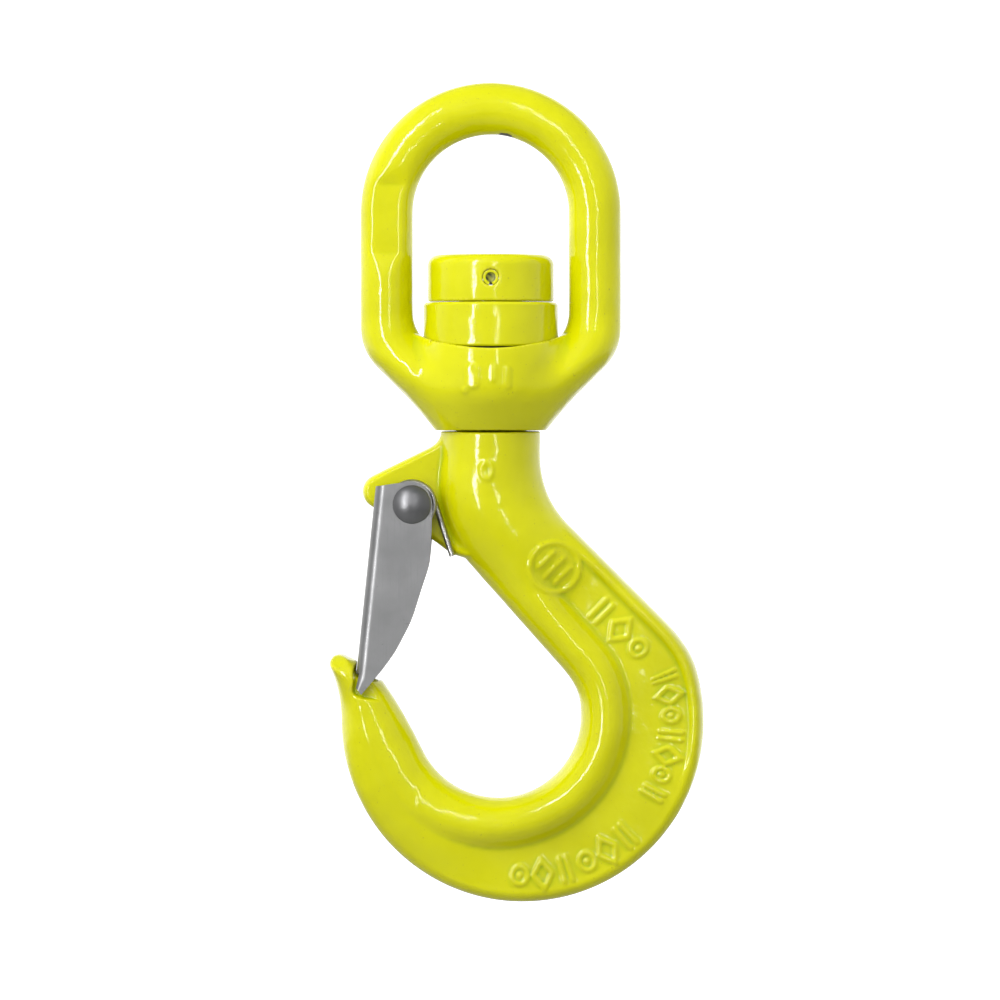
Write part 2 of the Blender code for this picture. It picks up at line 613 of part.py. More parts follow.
def make_latch(steel, rivet_steel, spring_steel):
    axis = (PIVOT.x, 0, PIVOT.y)
    blank = prism(latch_outline(), -LATCH_HALF, LATCH_HALF)
    bends = [e for e in blank.edges if is_back_edge(e)]
    bmesh.ops.bevel(blank, geom=bends, offset=BEND_R, segments=4, affect="EDGES", profile=0.5)
    latch = add_part("latch", blank, steel, axis)
    reach = LATCH_BACK + BEAK_DROP
    high, low = LATCH_TOP + SHEET * 4, WEB_END_DROP
    inside = [PIVOT + Vector(p) for p in ((back_line(-high) + SHEET, high), (reach, high), (reach, -reach),
                                          (back_line(low) - BAR, -reach), (back_line(low) - BAR, -low),
                                          (back_line(low) + SHEET, -low))]
    channel = prism(inside, -FLANGE_Y, FLANGE_Y)
    inner_bends = [e for e in channel.edges if is_channel_corner(e)]
    bmesh.ops.bevel(channel, geom=inner_bends, offset=BEND_R - SHEET, segments=2, affect="EDGES", profile=0.5)
    cut(latch, "latch_channel", channel)
    notch = LUG_HALF + NOTCH_AIR
    notch_low = (PIVOT.x - 2 * LATCH_BACK, -notch, PIVOT.y - WEB_NOTCH_DROP)
    cut(latch, "web_notch", block(notch_low, (PIVOT.x, notch, PIVOT.y + high)))
    cut(latch, "latch_rivet_hole", rod(RIVET_R + TOUCH, -LATCH_HALF - 1, LATCH_HALF + 1, PIVOT, 24))
    make_rivet(rivet_steel, axis)
    make_spring(spring_steel, axis)


def is_back_edge(edge):
    """One of the two long edges down the outer face of the latch's web."""
    a, b = (v.co for v in edge.verts)
    return abs(a.y - b.y) < 1e-6 and max(a.x, b.x) < PIVOT.x + back_line(0) + 1.5 and abs(a.z - b.z) > BEAK_DROP / 2


def is_channel_corner(edge):
    """One of the two long edges inside the web, where the sheet bends to a flange."""
    a, b = (v.co for v in edge.verts)
    return abs(a.y - b.y) < 1e-6 and abs(a.z - b.z) > WEB_END_DROP and max(a.x, b.x) < PIVOT.x


def make_rivet(steel, axis):
    base = LATCH_HALF + TOUCH
    ball_r = (RIVET_HEAD_R ** 2 + RIVET_HEAD_HEIGHT ** 2) / (2 * RIVET_HEAD_HEIGHT)
    spread = atan2(RIVET_HEAD_R, ball_r - RIVET_HEAD_HEIGHT)
    dome = arc((0, base + RIVET_HEAD_HEIGHT - ball_r), ball_r, pi / 2, pi / 2 - spread, 6)
    half = [(0.0, dome[0].y), *dome[1:], (RIVET_R, base)]
    profile = half + [(r, -z) for r, z in reversed(half)]
    bm = turned(profile, 24)
    for v in bm.verts:
        v.co = Vector((v.co.x, v.co.z, -v.co.y)) + Vector(axis)
    add_part("latch_pin", bm, steel, axis)


def spring_route():
    """Middle of the wire for the front half: leg end, leg, coil, leg inside the web, half the bridge."""
    leg = Vector((SPRING_LEG_LEAN, -1)).normalized()
    start = atan2(SPRING_LEG_LEAN, 1)
    touch = polar(PIVOT, COIL_R, start)
    bridge_x = PIVOT.x + back_line(SPRING_BRIDGE_DROP) + SHEET + TOUCH + WIRE_R
    bridge = Vector((bridge_x, PIVOT.y - SPRING_BRIDGE_DROP))
    finish = tangent_angle(PIVOT, COIL_R, bridge, -1)
    sweep = (finish - start) % tau + tau * COIL_TURNS
    steps = 24
    points = [(*(touch + leg * SPRING_LEG), COIL_Y), (*(touch + leg * SPRING_LEG / 2), COIL_Y)]
    for i in range(steps + 1):
        t = i / steps
        points.append((*polar(PIVOT, COIL_R, start + sweep * t), COIL_Y + (COIL_END_Y - COIL_Y) * t))
    end = points[-1]
    corner = 2 * WIRE_R
    down = (bridge - Vector(end[:2])).normalized()
    for turn in (0, pi / 8, pi / 4, 3 * pi / 8, pi / 2):
        place = bridge - down * corner * (1 - sin(turn))
        points.append((*place, COIL_END_Y - corner * (1 - cos(turn))))
    return [Vector((x, -y, z)) for x, z, y in points]


def make_spring(steel, axis):
    front = spring_route()
    back = [Vector((p.x, -p.y, p.z)) for p in reversed(front)]
    wire = bpy.data.curves.new("latch_spring", "CURVE")
    wire.dimensions = "3D"
    wire.bevel_depth = WIRE_R * MM
    wire.bevel_resolution = 2
    wire.use_fill_caps = True
    spline = wire.splines.new("POLY")
    route = front + back
    spline.points.add(len(route) - 1)
    for point, place in zip(spline.points, route):
        point.co = (*((place - Vector(axis)) * MM), 1)
    wire.materials.append(steel)
    spring = bpy.data.objects.new("latch_spring", wire)
    spring.location = Vector(axis) * MM
    bpy.context.collection.objects.link(spring)


def main():
    for old in list(bpy.data.objects):
        bpy.data.objects.remove(old, do_unlink=True)
    paint = material("chartreuse_paint", (0.76, 0.74, 0.01), 0.0, 0.22)
    latch_steel = material("grey_sheet_steel", (0.26, 0.26, 0.26), 0.6, 0.45)
    rivet_steel = material("rivet_steel", (0.21, 0.21, 0.21), 0.7, 0.4)
    bright_steel = material("bright_steel", (0.55, 0.55, 0.56), 1.0, 0.25)
    brass = material("brass", (0.60, 0.42, 0.14), 1.0, 0.35)
    rubber = material("black_rubber", (0.02, 0.02, 0.02), 0.0, 0.7)
    make_bail(paint)
    make_nut(paint)
    make_lock_pin(paint)
    make_cover(paint)
    make_bearing(bright_steel, brass, rubber)
    make_hook(paint)
    make_latch(latch_steel, rivet_steel, bright_steel)


main()
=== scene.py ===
"""The looks of a swivel hook: two painted forgings, a nut and bearing between them, a sprung latch.

The frame is in metres. Sizes below are in millimetres and turned into metres where a mesh is made.
The origin is the inner crown of the bail, +Z runs up the swivel axis, +X from the hook's tip to its
back, and Y through the thickness of the forgings.
"""
from math import cos, hypot, pi, radians, sin, tan

import bmesh
import bpy
import numpy as np
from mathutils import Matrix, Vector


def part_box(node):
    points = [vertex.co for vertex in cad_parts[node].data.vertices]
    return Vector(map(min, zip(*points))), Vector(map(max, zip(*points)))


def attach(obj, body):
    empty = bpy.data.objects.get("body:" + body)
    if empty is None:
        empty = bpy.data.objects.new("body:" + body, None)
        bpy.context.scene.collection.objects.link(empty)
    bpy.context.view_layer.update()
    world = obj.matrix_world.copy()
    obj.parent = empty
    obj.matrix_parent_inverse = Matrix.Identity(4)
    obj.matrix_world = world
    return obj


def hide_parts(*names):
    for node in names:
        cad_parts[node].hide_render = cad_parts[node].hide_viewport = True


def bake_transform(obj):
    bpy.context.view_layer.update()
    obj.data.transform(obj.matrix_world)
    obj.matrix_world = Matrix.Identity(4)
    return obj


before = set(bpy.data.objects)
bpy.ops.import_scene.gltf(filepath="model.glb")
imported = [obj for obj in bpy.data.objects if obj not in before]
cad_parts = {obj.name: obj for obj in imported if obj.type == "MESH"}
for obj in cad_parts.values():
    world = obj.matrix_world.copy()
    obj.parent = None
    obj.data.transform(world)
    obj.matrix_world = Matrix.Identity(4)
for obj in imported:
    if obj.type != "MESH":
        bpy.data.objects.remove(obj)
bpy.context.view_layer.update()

MM = 0.001

# ---- Sizes that the pieces share, the CAD's own values where it has them ----
TOUCH = 0.3
BAR_R = 8.0
HALF_WINDOW = 24.0
WINDOW_HEIGHT = 66.1
WINDOW_CORNER = 11.5
SHOULDER_R = 17.0
BOSS_BELLY_R = 23.4
BOSS_FOOT_R = 15.7
BOSS_RIM = 0.95
BOSS_RIM_SWEEP = 2.9
BELLY_DEPTH = 7.5
SEAT_GAP = 0.6
WEAR_X = 4.7
PAINT_IN_GAP = 0.22
PAD_TOP = -10.5
PAD_FOOT = -41.5
PAD_FACE = -6.4
PAD_RAMP = 5.0
SHANK_R = 9.7
BORE_R = 10.1
NUT_R = 19.4
NUT_HEIGHT = 14.3
NUT_EDGE = 3.2
LOCK_PIN_R = 2.4
COVER_R = 20.8
COVER_INSIDE_R = 18.7
COVER_EDGE = 0.8
RACE_R = 17.356
PITCH_R = 14.578
BALL_R = 2.778
NECK_R = 15.2
NECK_BEND_R = 29.3
SHANK_LEAN = radians(45)
BOWL_R = 25.6
BACK_R = 55.8
BACK_CORNER = 9.0
BOWL_END = radians(-154)
THROAT_FLAT = 1.2
SHANK_HALF = 12.5
BEAD_WIDTH = 16.0
BEAD_HALF = 11.5
WEB_HALF = 6.5
TIP_HALF = 10.8
TIP_R = 3.1
TIP_LEAN = (-0.28, 0.96)
LUG_HALF = 4.2
LUG_NOSE_R = 5.3
RIVET_R = 4.0
RIVET_HEAD_R = 5.9
RIVET_HEAD_HEIGHT = 2.6
WIRE_R = 0.9
COIL_R = 6.7
COIL_Y = 5.4
COIL_END_Y = 8.25
SHEET = 2.0
BEND_R = 3.0
LATCH_HALF = 11.45
LATCH_BACK = 11.7
LATCH_LEAN = 0.104
WEB_END_DROP = 51.9
BEAK_DROP = 58.3
BEAK_HEEL = 2.5
LATCH_TOP = 5.5
LATCH_CROWN = 7.1
LATCH_FRONT = 6.3
LATCH_WIDTHS = ((0.18, 18.7), (0.33, 18.8), (0.456, 17.1), (0.614, 15.2), (0.774, 11.3),
                (0.868, 7.9), (1.0, 2.2))
NOTCH_HALF = 5.0
NOTCH_DROP = 6.0
LEG_LEAN = 0.33
LEG_LENGTH = 19.0
BRIDGE_DROP = 23.0
PIN_WALL = 0.9
PIN_SLOT = 1.2
BALL_COUNT = 12
TONGUE_HALF = 8.95
WEB_SWEEP_R = 55.24
BEAK_SWEEP_R = 60.94

SEAT_Z = -WINDOW_HEIGHT
BOSS_RIM_Z = SEAT_Z + BOSS_RIM
FOOT_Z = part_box("bail")[0].z / MM
NECK_Z = FOOT_Z - TOUCH
BAIL_FOOT_Z = FOOT_Z - PAINT_IN_GAP
NUT_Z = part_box("swivel_nut")[0].z / MM
NUT_TOP_Z = NUT_Z + NUT_HEIGHT
LOCK_PIN_Z = NUT_Z + NUT_HEIGHT / 2
SHANK_TOP_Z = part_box("hook_body")[1].z / MM
BALL_Z = (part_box("ball_01")[0].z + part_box("ball_01")[1].z) / 2 / MM
PIVOT = np.array([-24.1, NECK_Z - 22.4])
BOWL = np.array([2.2, NECK_Z - 87.5])
BACK = BOWL + (7.6, -1.8)
TIP = np.array([-46.7, NECK_Z - 71.6])
THROAT = np.array([-7.6, NECK_Z - 39.7])
BEND = np.array([NECK_R + NECK_BEND_R, NECK_Z - 8.1])


# ---- Small helpers for arrays ----
def ramp(low, high, value):
    """0 up to low, 1 from high on, and a smooth cubic rise between them."""
    t = np.clip((value - low) / (high - low), 0, 1)
    return t * t * (3 - 2 * t)


def soft_max(a, b, width):
    """The larger of two fields, with the crease rounded over a difference of width."""
    share = np.clip(0.5 + 0.5 * (a - b) / width, 0, 1)
    return b + (a - b) * share + width * share * (1 - share)


def soft_min(a, b, width):
    """The smaller of two fields, with the crease rounded the same way."""
    return -soft_max(-a, -b, width)


def on_circle(centre, radius, angle):
    """Points of a circle: centre + radius (cos a, sin a)."""
    return np.stack([centre[0] + radius * np.cos(angle), centre[1] + radius * np.sin(angle)], -1)


def arc(centre, radius, start, end, step=0.3):
    """Points of a circle from one angle to another, about step apart."""
    count = max(int(abs(end - start) * radius / step), 2)
    return on_circle(centre, radius, np.linspace(start, end, count))


def curve(start, control, end, count=80):
    """A parabola that leaves start towards control and reaches end from control."""
    t = np.linspace(0, 1, count)[:, None]
    start, control, end = map(np.asarray, (start, control, end))
    return start * (1 - t) ** 2 + 2 * control * t * (1 - t) + end * t ** 2


def evenly(points, step):
    """The same polyline with its points evenly spaced, about step apart."""
    run = np.concatenate([[0], np.cumsum(np.hypot(*np.diff(points, axis=0).T[:2]))])
    keep = np.concatenate([[True], np.diff(run) > 1e-9])
    want = np.linspace(0, run[-1], int(run[-1] / step) + 1)
    return np.stack([np.interp(want, run[keep], points[keep, i]) for i in range(points.shape[1])], 1)


class Edge:
    """A drawn line in the XZ plane that distances are measured from.

    It is sampled finely and its kinks are averaged out over the length soft. For a point of the
    plane the nearest sample gives a tangent and a curvature, and the distance is that to the circle
    which touches the line there, so it is smooth although the samples are not.
    """

    def __init__(self, points, soft=2.0, step=0.25):
        points = evenly(np.asarray(points, float), step)
        reach = int(3 * soft / step)
        weights = np.exp(-0.5 * (np.arange(-reach, reach + 1) * step / soft) ** 2)
        weights /= weights.sum()
        first = 2 * points[0] - points[1:reach + 1][::-1]
        last = 2 * points[-1] - points[-reach - 1:-1][::-1]
        padded = np.concatenate([first, points, last])
        self.points = np.stack([np.convolve(padded[:, i], weights, "valid") for i in (0, 1)], 1)
        along = np.gradient(self.points, axis=0)
        speed = np.hypot(*along.T)
        self.tangent = along / speed[:, None]
        self.normal = np.stack([-self.tangent[:, 1], self.tangent[:, 0]], 1)
        self.curvature = (np.gradient(self.tangent, axis=0) * self.normal).sum(1) / speed
        self.run = np.cumsum(speed)

    def measure(self, x, z):
        """(distance along the line, distance to its left) for arrays of x and z."""
        x, z = np.broadcast_arrays(x, z)
        flat = np.stack([x.ravel(), z.ravel()], 1)
        size = (self.points ** 2).sum(1)
        near = np.concatenate([np.argmin(size - 2 * block @ self.points.T, axis=1)
                               for block in np.array_split(flat, len(flat) // 4000 + 1)])
        away = flat - self.points[near]
        ahead = (away * self.tangent[near]).sum(1)
        aside = (away * self.normal[near]).sum(1)
        bend = self.curvature[near]
        room = np.maximum(1 - bend * aside, 0.2)
        left = aside - bend * ahead ** 2 / (2 * room)
        return (self.run[near] + ahead / room).reshape(x.shape), left.reshape(x.shape)


# ---- Mesh making ----
def grid_faces(rows, columns, wrap_rows=False, wrap_columns=False):
    """Four-cornered faces of a grid of points, which may close on itself either way."""
    r = np.arange(rows if wrap_rows else rows - 1)[:, None]
    c = np.arange(columns if wrap_columns else columns - 1)[None, :]
    r_next, c_next = (r + 1) % rows, (c + 1) % columns
    corners = [r * columns + c, r_next * columns + c, r_next * columns + c_next, r * columns + c_next]
    return np.stack(corners, -1).reshape(-1, 4)


def new_mesh(name, points, faces):
    """A mesh in metres from points in mm and faces that all have as many corners."""
    mesh = bpy.data.meshes.new(name)
    mesh.vertices.add(len(points))
    mesh.vertices.foreach_set("co", (np.asarray(points) * MM).astype(np.float32).ravel())
    mesh.loops.add(faces.size)
    mesh.loops.foreach_set("vertex_index", faces.astype(np.int32).ravel())
    mesh.polygons.add(len(faces))
    mesh.polygons.foreach_set("loop_start", np.arange(0, faces.size, faces.shape[1], dtype=np.int32))
    mesh.update(calc_edges=True)
    return mesh


def finish_mesh(mesh, sharp=None):
    """Merge the points that meet at seams and poles, and turn all faces outwards."""
    bm = bmesh.new()
    bm.from_mesh(mesh)
    bmesh.ops.remove_doubles(bm, verts=bm.verts, dist=2e-6)
    bmesh.ops.recalc_face_normals(bm, faces=bm.faces)
    bm.to_mesh(mesh)
    bm.free()
    mesh.shade_smooth()
    if sharp is not None:
        mesh.set_sharp_from_angle(angle=radians(sharp))


def mark_edges(mesh, reach=1.0):
    """Store how the surface bends at each point as the attribute edge: 1 on an outer edge, -1 in a hollow.

    It is the distance from a point to the middle of its neighbours, measured along the normal and
    divided by their mean distance squared, which is the mean curvature, times the radius reach in mm.
    """
    count = len(mesh.vertices)
    points = np.empty(count * 3, np.float32)
    normals = np.empty(count * 3, np.float32)
    ends = np.empty(len(mesh.edges) * 2, np.int32)
    mesh.vertices.foreach_get("co", points)
    mesh.vertices.foreach_get("normal", normals)
    mesh.edges.foreach_get("vertices", ends)
    points, normals, ends = points.reshape(-1, 3) / MM, normals.reshape(-1, 3), ends.reshape(-1, 2)
    here, there = np.concatenate([ends.T, ends.T[::-1]], 1)
    step = points[there] - points[here]
    rise = np.bincount(here, (step * normals[here]).sum(1), count)
    square = np.bincount(here, (step ** 2).sum(1), count)
    number = np.bincount(here, minlength=count) + 1
    bend = -rise / np.maximum(square, 1e-9)
    for turn in range(3):
        bend = (bend + np.bincount(here, bend[there], count)) / number
    attribute = mesh.attributes.new("edge", "FLOAT", "POINT")
    attribute.data.foreach_set("value", np.clip(bend * 2 * reach, -1, 1).astype(np.float32))


def add_piece(name, mesh, material, body=None, node=None):
    """Add a mesh as a piece that rides a body and stands for a node of the CAD."""
    piece = bpy.data.objects.new(name, mesh)
    bpy.context.scene.collection.objects.link(piece)
    mesh.materials.append(material)
    if body:
        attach(piece, body)
    if node:
        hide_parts(node)
    return piece


# ---- Solids carved from a field ----
def skin(field, low, high, cell):
    """The closed skin of the solid in which field(x, y, z), about a distance in mm, is below zero.

    A block of points, cell apart, takes the field's values. Each cell of the block that the skin
    passes through gets one point, the mean of where the skin crosses its edges, and each crossed
    edge gets the four-cornered face of its four cells. Then each point slides down the field's
    slope onto the skin itself. A forging whose ears, ribs and necks run into each other has no
    single profile or two-parameter grid that would keep these joints rounded.
    """
    axes = [np.arange(a, b + cell, cell) for a, b in zip(low, high)]
    value = field(*np.ix_(*axes))
    cells = np.array(value.shape) - 1
    strides = np.array([cells[1] * cells[2], cells[2], 1])
    total, number = np.zeros((3, cells.prod())), np.zeros(cells.prod())
    crossings = []
    for axis in range(3):
        first, second = (np.take(value, range(n, cells[axis] + n), axis) for n in (0, 1))
        place = np.argwhere((first < 0) != (second < 0))
        a, b = first[tuple(place.T)], second[tuple(place.T)]
        point = place + np.eye(3)[axis] * (a / (a - b))[:, None]
        one, two = np.delete(strides, axis)
        corners = (place @ strides)[:, None] + (-one - two, -two, 0, -one)
        for corner in corners.T:
            number += np.bincount(corner, minlength=len(number))
            total += [np.bincount(corner, point[:, i], len(number)) for i in range(3)]
        leaving = (a < 0) == (axis != 1)
        crossings.append(np.where(leaving[:, None], corners, corners[:, ::-1]))
    used = number > 0
    index_of = np.cumsum(used) - 1
    points = np.array(low) + (total[:, used] / number[used]).T * cell
    return settle(field, points, cell), index_of[np.concatenate(crossings)]


def settle(field, points, cell):
    """Slide points down the slope of a field to where it is zero, by less than a cell."""
    start = points.copy()
    nudge = 0.05
    for turn in range(3):
        value = field(*points.T)
        slope = np.stack([(field(*(points + nudge * axis).T) - value) / nudge for axis in np.eye(3)], 1)
        points = points - value[:, None] * slope / np.maximum((slope ** 2).sum(1), 0.05)[:, None]
        points = start + np.clip(points - start, -cell, cell)
    return points


def sampled(half_map, low, high, step=0.2):
    """A map of the XZ plane worked out once on a fine grid, and read back between its points.

    Each reading weighs the sixteen points around it by the smooth cubic (spline) weights.
    """
    x, z = (np.arange(low[i] - 3, high[i] + 3, step) for i in (0, 1))
    table = half_map(*np.ix_(x, z))

    def weights(t):
        middle = 3 * t ** 3 - 6 * t ** 2 + 4
        return (1 - t) ** 3 / 6, middle / 6, (1 + 3 * t + 3 * t ** 2 - 3 * t ** 3) / 6, t ** 3 / 6

    def read(at_x, at_z):
        at_x, at_z = np.broadcast_arrays(at_x, at_z)
        u = np.clip((at_x - x[0]) / step, 1, len(x) - 3.001)
        w = np.clip((at_z - z[0]) / step, 1, len(z) - 3.001)
        i, j = u.astype(int), w.astype(int)
        across, up = weights(u - i), weights(w - j)
        return sum(across[m] * up[n] * table[i + m - 1, j + n - 1] for m in range(4) for n in range(4))

    return read


def rounded_slab(half, depth, round_over):
    """Squared half thickness of a slab, depth inside its edge, which is rounded over a length."""
    return half ** 2 * (1 - np.clip((round_over - depth) / round_over, 0, None) ** 2)


def oval(half, inner, outer):
    """Squared half thickness of an oval bar between two edges, from the distances inside them."""
    low, high = np.minimum(inner, outer), np.maximum(np.maximum(inner, outer), 1e-3)
    return 4 * half ** 2 * low * high / (np.maximum(low, 0) + high) ** 2


def two_sided(half_map, x, y, z):
    """The field of a forging made in two dies, whose half thickness squared is a map over the XZ plane.

    The distance to the surface y squared = map is about their difference over its slope.
    """
    nudge = 0.05
    squared = half_map(x, z)
    slope_x = (half_map(x + nudge, z) - squared) / nudge
    slope_z = (half_map(x, z + nudge) - squared) / nudge
    return (y ** 2 - squared) / np.sqrt(slope_x ** 2 + slope_z ** 2 + 4 * y ** 2 + 1e-6)


# ---- Relief marks on the forgings: plain signs that stand for the maker's raised marks ----
def bar_sign(u, v, half_length, half_width):
    """Distance to an upright bar with round ends."""
    return np.hypot(u, np.maximum(np.abs(v) - half_length, 0)) - half_width


def raised(distance, height):
    """How high a mark with sloping sides stands at a distance outside its outline."""
    return height * (1 - ramp(-0.35, 0.55, distance))


def sign_row(along, across, start, pitch, count, size, height):
    """A row of raised signs, double bars, diamonds and ringed dots in turn, size tall."""
    number = np.floor((along - start) / pitch)
    u = along - start - (number + 0.5) * pitch
    half = size / 2
    bars = bar_sign(np.abs(u) - size * 0.16, across, half - 0.7, 0.62)
    diamond = np.abs((np.abs(u) * 1.3 + np.abs(across) - half) / hypot(1.3, 1)) - 0.6
    round_off = np.hypot(u, across)
    dot = np.minimum(np.abs(round_off - half * 0.62) - 0.55, round_off - 0.75)
    kind = np.mod(number, 3)
    distance = np.where(kind == 0, bars, np.where(kind == 1, diamond, dot))
    inside = (number >= 0) & (number < count)
    return np.where(inside, raised(distance, height), 0)


def stamp(x, z, centre, radius, height):
    """A raised ring with three bars across it."""
    u, v = x - centre[0], z - centre[1]
    a = u * cos(SHANK_LEAN) - v * sin(SHANK_LEAN)
    b = u * sin(SHANK_LEAN) + v * cos(SHANK_LEAN)
    ring = np.abs(np.hypot(a, b) - radius) - 0.6
    pitch = radius * 0.46
    number = np.clip(np.round(a / pitch), -1, 1)
    length = radius * (0.52 - 0.12 * np.abs(number))
    return raised(np.minimum(ring, bar_sign(a - pitch * number, b, length, 0.55)), height)


# ---- Hook forging ----
def hook_edges():
    """The inner and the outer line of the hook, from the neck down and round to the nose of the tip."""
    neck_foot = BEND[1]
    to_throat = THROAT - BOWL
    touch = np.arctan2(*to_throat[::-1]) - np.arccos((BOWL_R - THROAT_FLAT) / np.hypot(*to_throat))
    angle = np.linspace(touch, BOWL_END, 400)
    flat = THROAT_FLAT * (1 - ramp(0, radians(30), touch - angle))
    bowl = on_circle(BOWL, (BOWL_R - flat), angle)
    shoulder = TIP + (10.6, -1.8)
    heading = np.array([sin(BOWL_END), -cos(BOWL_END)])
    inside = curve(bowl[-1], bowl[-1] + heading * 18, shoulder)
    inner = [[(-NECK_R, NECK_Z + 12)], [(-NECK_R, neck_foot)],
             curve((-NECK_R, neck_foot), (-NECK_R - 3.8, (neck_foot + THROAT[1]) / 2), THROAT),
             bowl, inside, arc(TIP, TIP_R, radians(70), radians(125))]
    lean_point = on_circle(BEND, NECK_BEND_R, pi + SHANK_LEAN)
    away = np.array([cos(SHANK_LEAN), sin(SHANK_LEAN)])
    reach = (lean_point - BACK) @ away
    meet = SHANK_LEAN - np.arccos(reach / BACK_R)
    corner = on_circle(BACK, BACK_R, meet)
    round_end = meet - BACK_CORNER / BACK_R
    slope = np.array([cos(SHANK_LEAN), -sin(SHANK_LEAN)])
    facing = np.array([cos(round_end), sin(round_end)])
    apex = corner + slope * ((on_circle(BACK, BACK_R, round_end) - corner) @ facing) / (slope @ facing)
    turn = curve(corner - slope * BACK_CORNER, apex, on_circle(BACK, BACK_R, round_end))
    back = np.concatenate([turn, arc(BACK, BACK_R, round_end, -pi)])
    rise = curve(back[-1], back[-1] + (0, 9), on_circle(TIP, TIP_R, radians(190)))
    outer = [[(NECK_R, NECK_Z + 12)], [(NECK_R, neck_foot)], arc(BEND, NECK_BEND_R, pi, pi + SHANK_LEAN),
             back, rise, arc(TIP, TIP_R, radians(190), radians(125))]
    return Edge(np.concatenate(inner), soft=1.2), Edge(np.concatenate(outer), soft=1.2)


def lug_edge():
    """The outline of the ear that carries the latch, anticlockwise from inside the neck."""
    nose = arc(PIVOT + (-10.1, 3.8), LUG_NOSE_R, radians(116), radians(241))
    corner = np.array([-15.2, NECK_Z - 3.4])
    slant = (nose[0] - corner) / np.hypot(*(nose[0] - corner))
    knee = PIVOT + (6.0, -11.0)
    root = curve(corner + (0, 4), corner, corner + slant * 4, 20)
    outline = [[(-NECK_R + 6, NECK_Z + 8)], [(-NECK_R, NECK_Z + 3)], root, nose, [knee],
               [THROAT + (-4.4, 1.7)], [THROAT + (0, 0.4)], [THROAT + (6, 0)]]
    return Edge(np.concatenate(outline), soft=0.7)


INNER, OUTER = hook_edges()
LUG = lug_edge()


def hook_map(x, z):
    """Squared half thickness of the hook forging over the XZ plane.

    Between the inner and the outer edge the section is an oval at the neck and the tip, and a round
    bead with a flatter web and a raised rim outside it round the bowl. Where one turns into another
    is given by the length in mm along the outer line, from 12 mm above the neck. The lug is a slab
    that thickens as it nears the body. Soft maxima fillet them together, soft minima blunt the nose
    and cut the neck's top, and minima bore the holes of the rivet and of the nut's pin.
    """
    _, inner = INNER.measure(x, z)
    along, outer = OUTER.measure(x, z)
    outer = -outer
    round_half = NECK_R + (SHANK_HALF - NECK_R) * ramp(22, 60, along)
    round_half = round_half + (TIP_HALF - SHANK_HALF) * ramp(200, 300, along)
    bead_r = BEAD_WIDTH / 2
    bead = BEAD_HALF ** 2 * (1 - ((inner - bead_r) / bead_r) ** 2)
    web = rounded_slab(WEB_HALF, outer, 4.0) - 4 * np.clip(bead_r - inner, 0, None) ** 2
    rim_rise = 1.5 * ramp(37, 55, along) * (1 - ramp(115, 145, along))
    rim_at = 3.0
    rim = (WEB_HALF + rim_rise) ** 2 * (1 - ((outer - rim_at) / rim_at) ** 2)
    beaded = soft_max(bead, soft_max(web, rim, 9.0), 30.0)
    share = ramp(36, 62, along) * (1 - 0.7 * ramp(210, 265, along)) * (1 - ramp(265, 300, along))
    body = oval(round_half, inner, outer) * (1 - share) + beaded * share
    past = (x - TIP[0]) * TIP_LEAN[0] + (z - TIP[1]) * TIP_LEAN[1]
    blunt = soft_min(body, rounded_slab(TIP_HALF, TIP_R - past, 9.0), 12.0)
    body = np.where(x < TIP[0] + 24, blunt, body)
    _, lug_depth = LUG.measure(x, z)
    flare = 3.0 * ramp(-12.5, -6.0, x)
    lug = rounded_slab(LUG_HALF + flare, lug_depth, 1.6) - 3 * np.clip(x + 6, 0, None) ** 2
    body = soft_max(body, lug, 12.0)
    body = soft_min(body, rounded_slab(NECK_R, NECK_Z - z, 0.45), 3.0)
    body = with_marks(body, x, z, along, outer)
    body = latch_seat(body, x, z)
    shank = SHANK_R ** 2 - x ** 2
    shank = soft_min(shank, rounded_slab(SHANK_R, SHANK_TOP_Z - z, 1.0), 4.0)
    shank = shank - 20 * np.clip(NECK_Z - 6 - z, 0, None)
    body = np.maximum(body, shank)
    hole = np.hypot(x - PIVOT[0], z - PIVOT[1]) - (RIVET_R + TOUCH)
    pin_hole = np.hypot(x, z - LOCK_PIN_Z) - (LOCK_PIN_R + TOUCH)
    body = np.minimum(body, 90 * hole)
    return np.minimum(body, 250 * pin_hole)


def with_marks(body, x, z, along, outer):
    """Raise three rows of plain signs on the web's faces, a ring on the neck and a stamp on the shank."""
    marks = sign_row(along, outer - 11.5, 65, 8.2, 3, 8.6, 0.55)
    marks = marks + sign_row(along, outer - 10.2, 98, 7.6, 7, 8.2, 0.55)
    marks = marks + sign_row(along, outer - 8.6, 162, 8.4, 6, 9.0, 0.6)
    marks = marks + raised(np.abs(np.hypot(x + 1.2, 0.7 * (z - NECK_Z + 12)) - 1.7) - 0.5, 0.4)
    marks = marks + stamp(x, z, (19.6, NECK_Z - 41.7), 7.6, 0.5)
    half = np.sqrt(np.maximum(body, 1.0))
    return np.where(body > 9, body + 2 * half * marks + marks ** 2, body)


def latch_seat(body, x, z):
    """Cut the wall and the floor that the latch closes on, and a recess on each face for its beak."""
    away = np.hypot(x - PIVOT[0], z - PIVOT[1])
    drop = PIVOT[1] - z
    wall = PIVOT[0] - LATCH_BACK - LATCH_LEAN * drop - TOUCH - x
    floor = away - WEB_SWEEP_R
    low_floor = away - BEAK_SWEEP_R
    clear = soft_max(wall, floor, 1.2)
    recess = soft_max(wall, low_floor, 1.6)
    near_tip = (np.abs(z - TIP[1]) < 18) & (x < PIVOT[0] + 6)
    cut = soft_min(body, 120 * clear, 10.0)
    cut = soft_min(cut, TONGUE_HALF ** 2 + 60 * np.maximum(recess, -0.02), 6.0)
    return np.where(near_tip, cut, body)


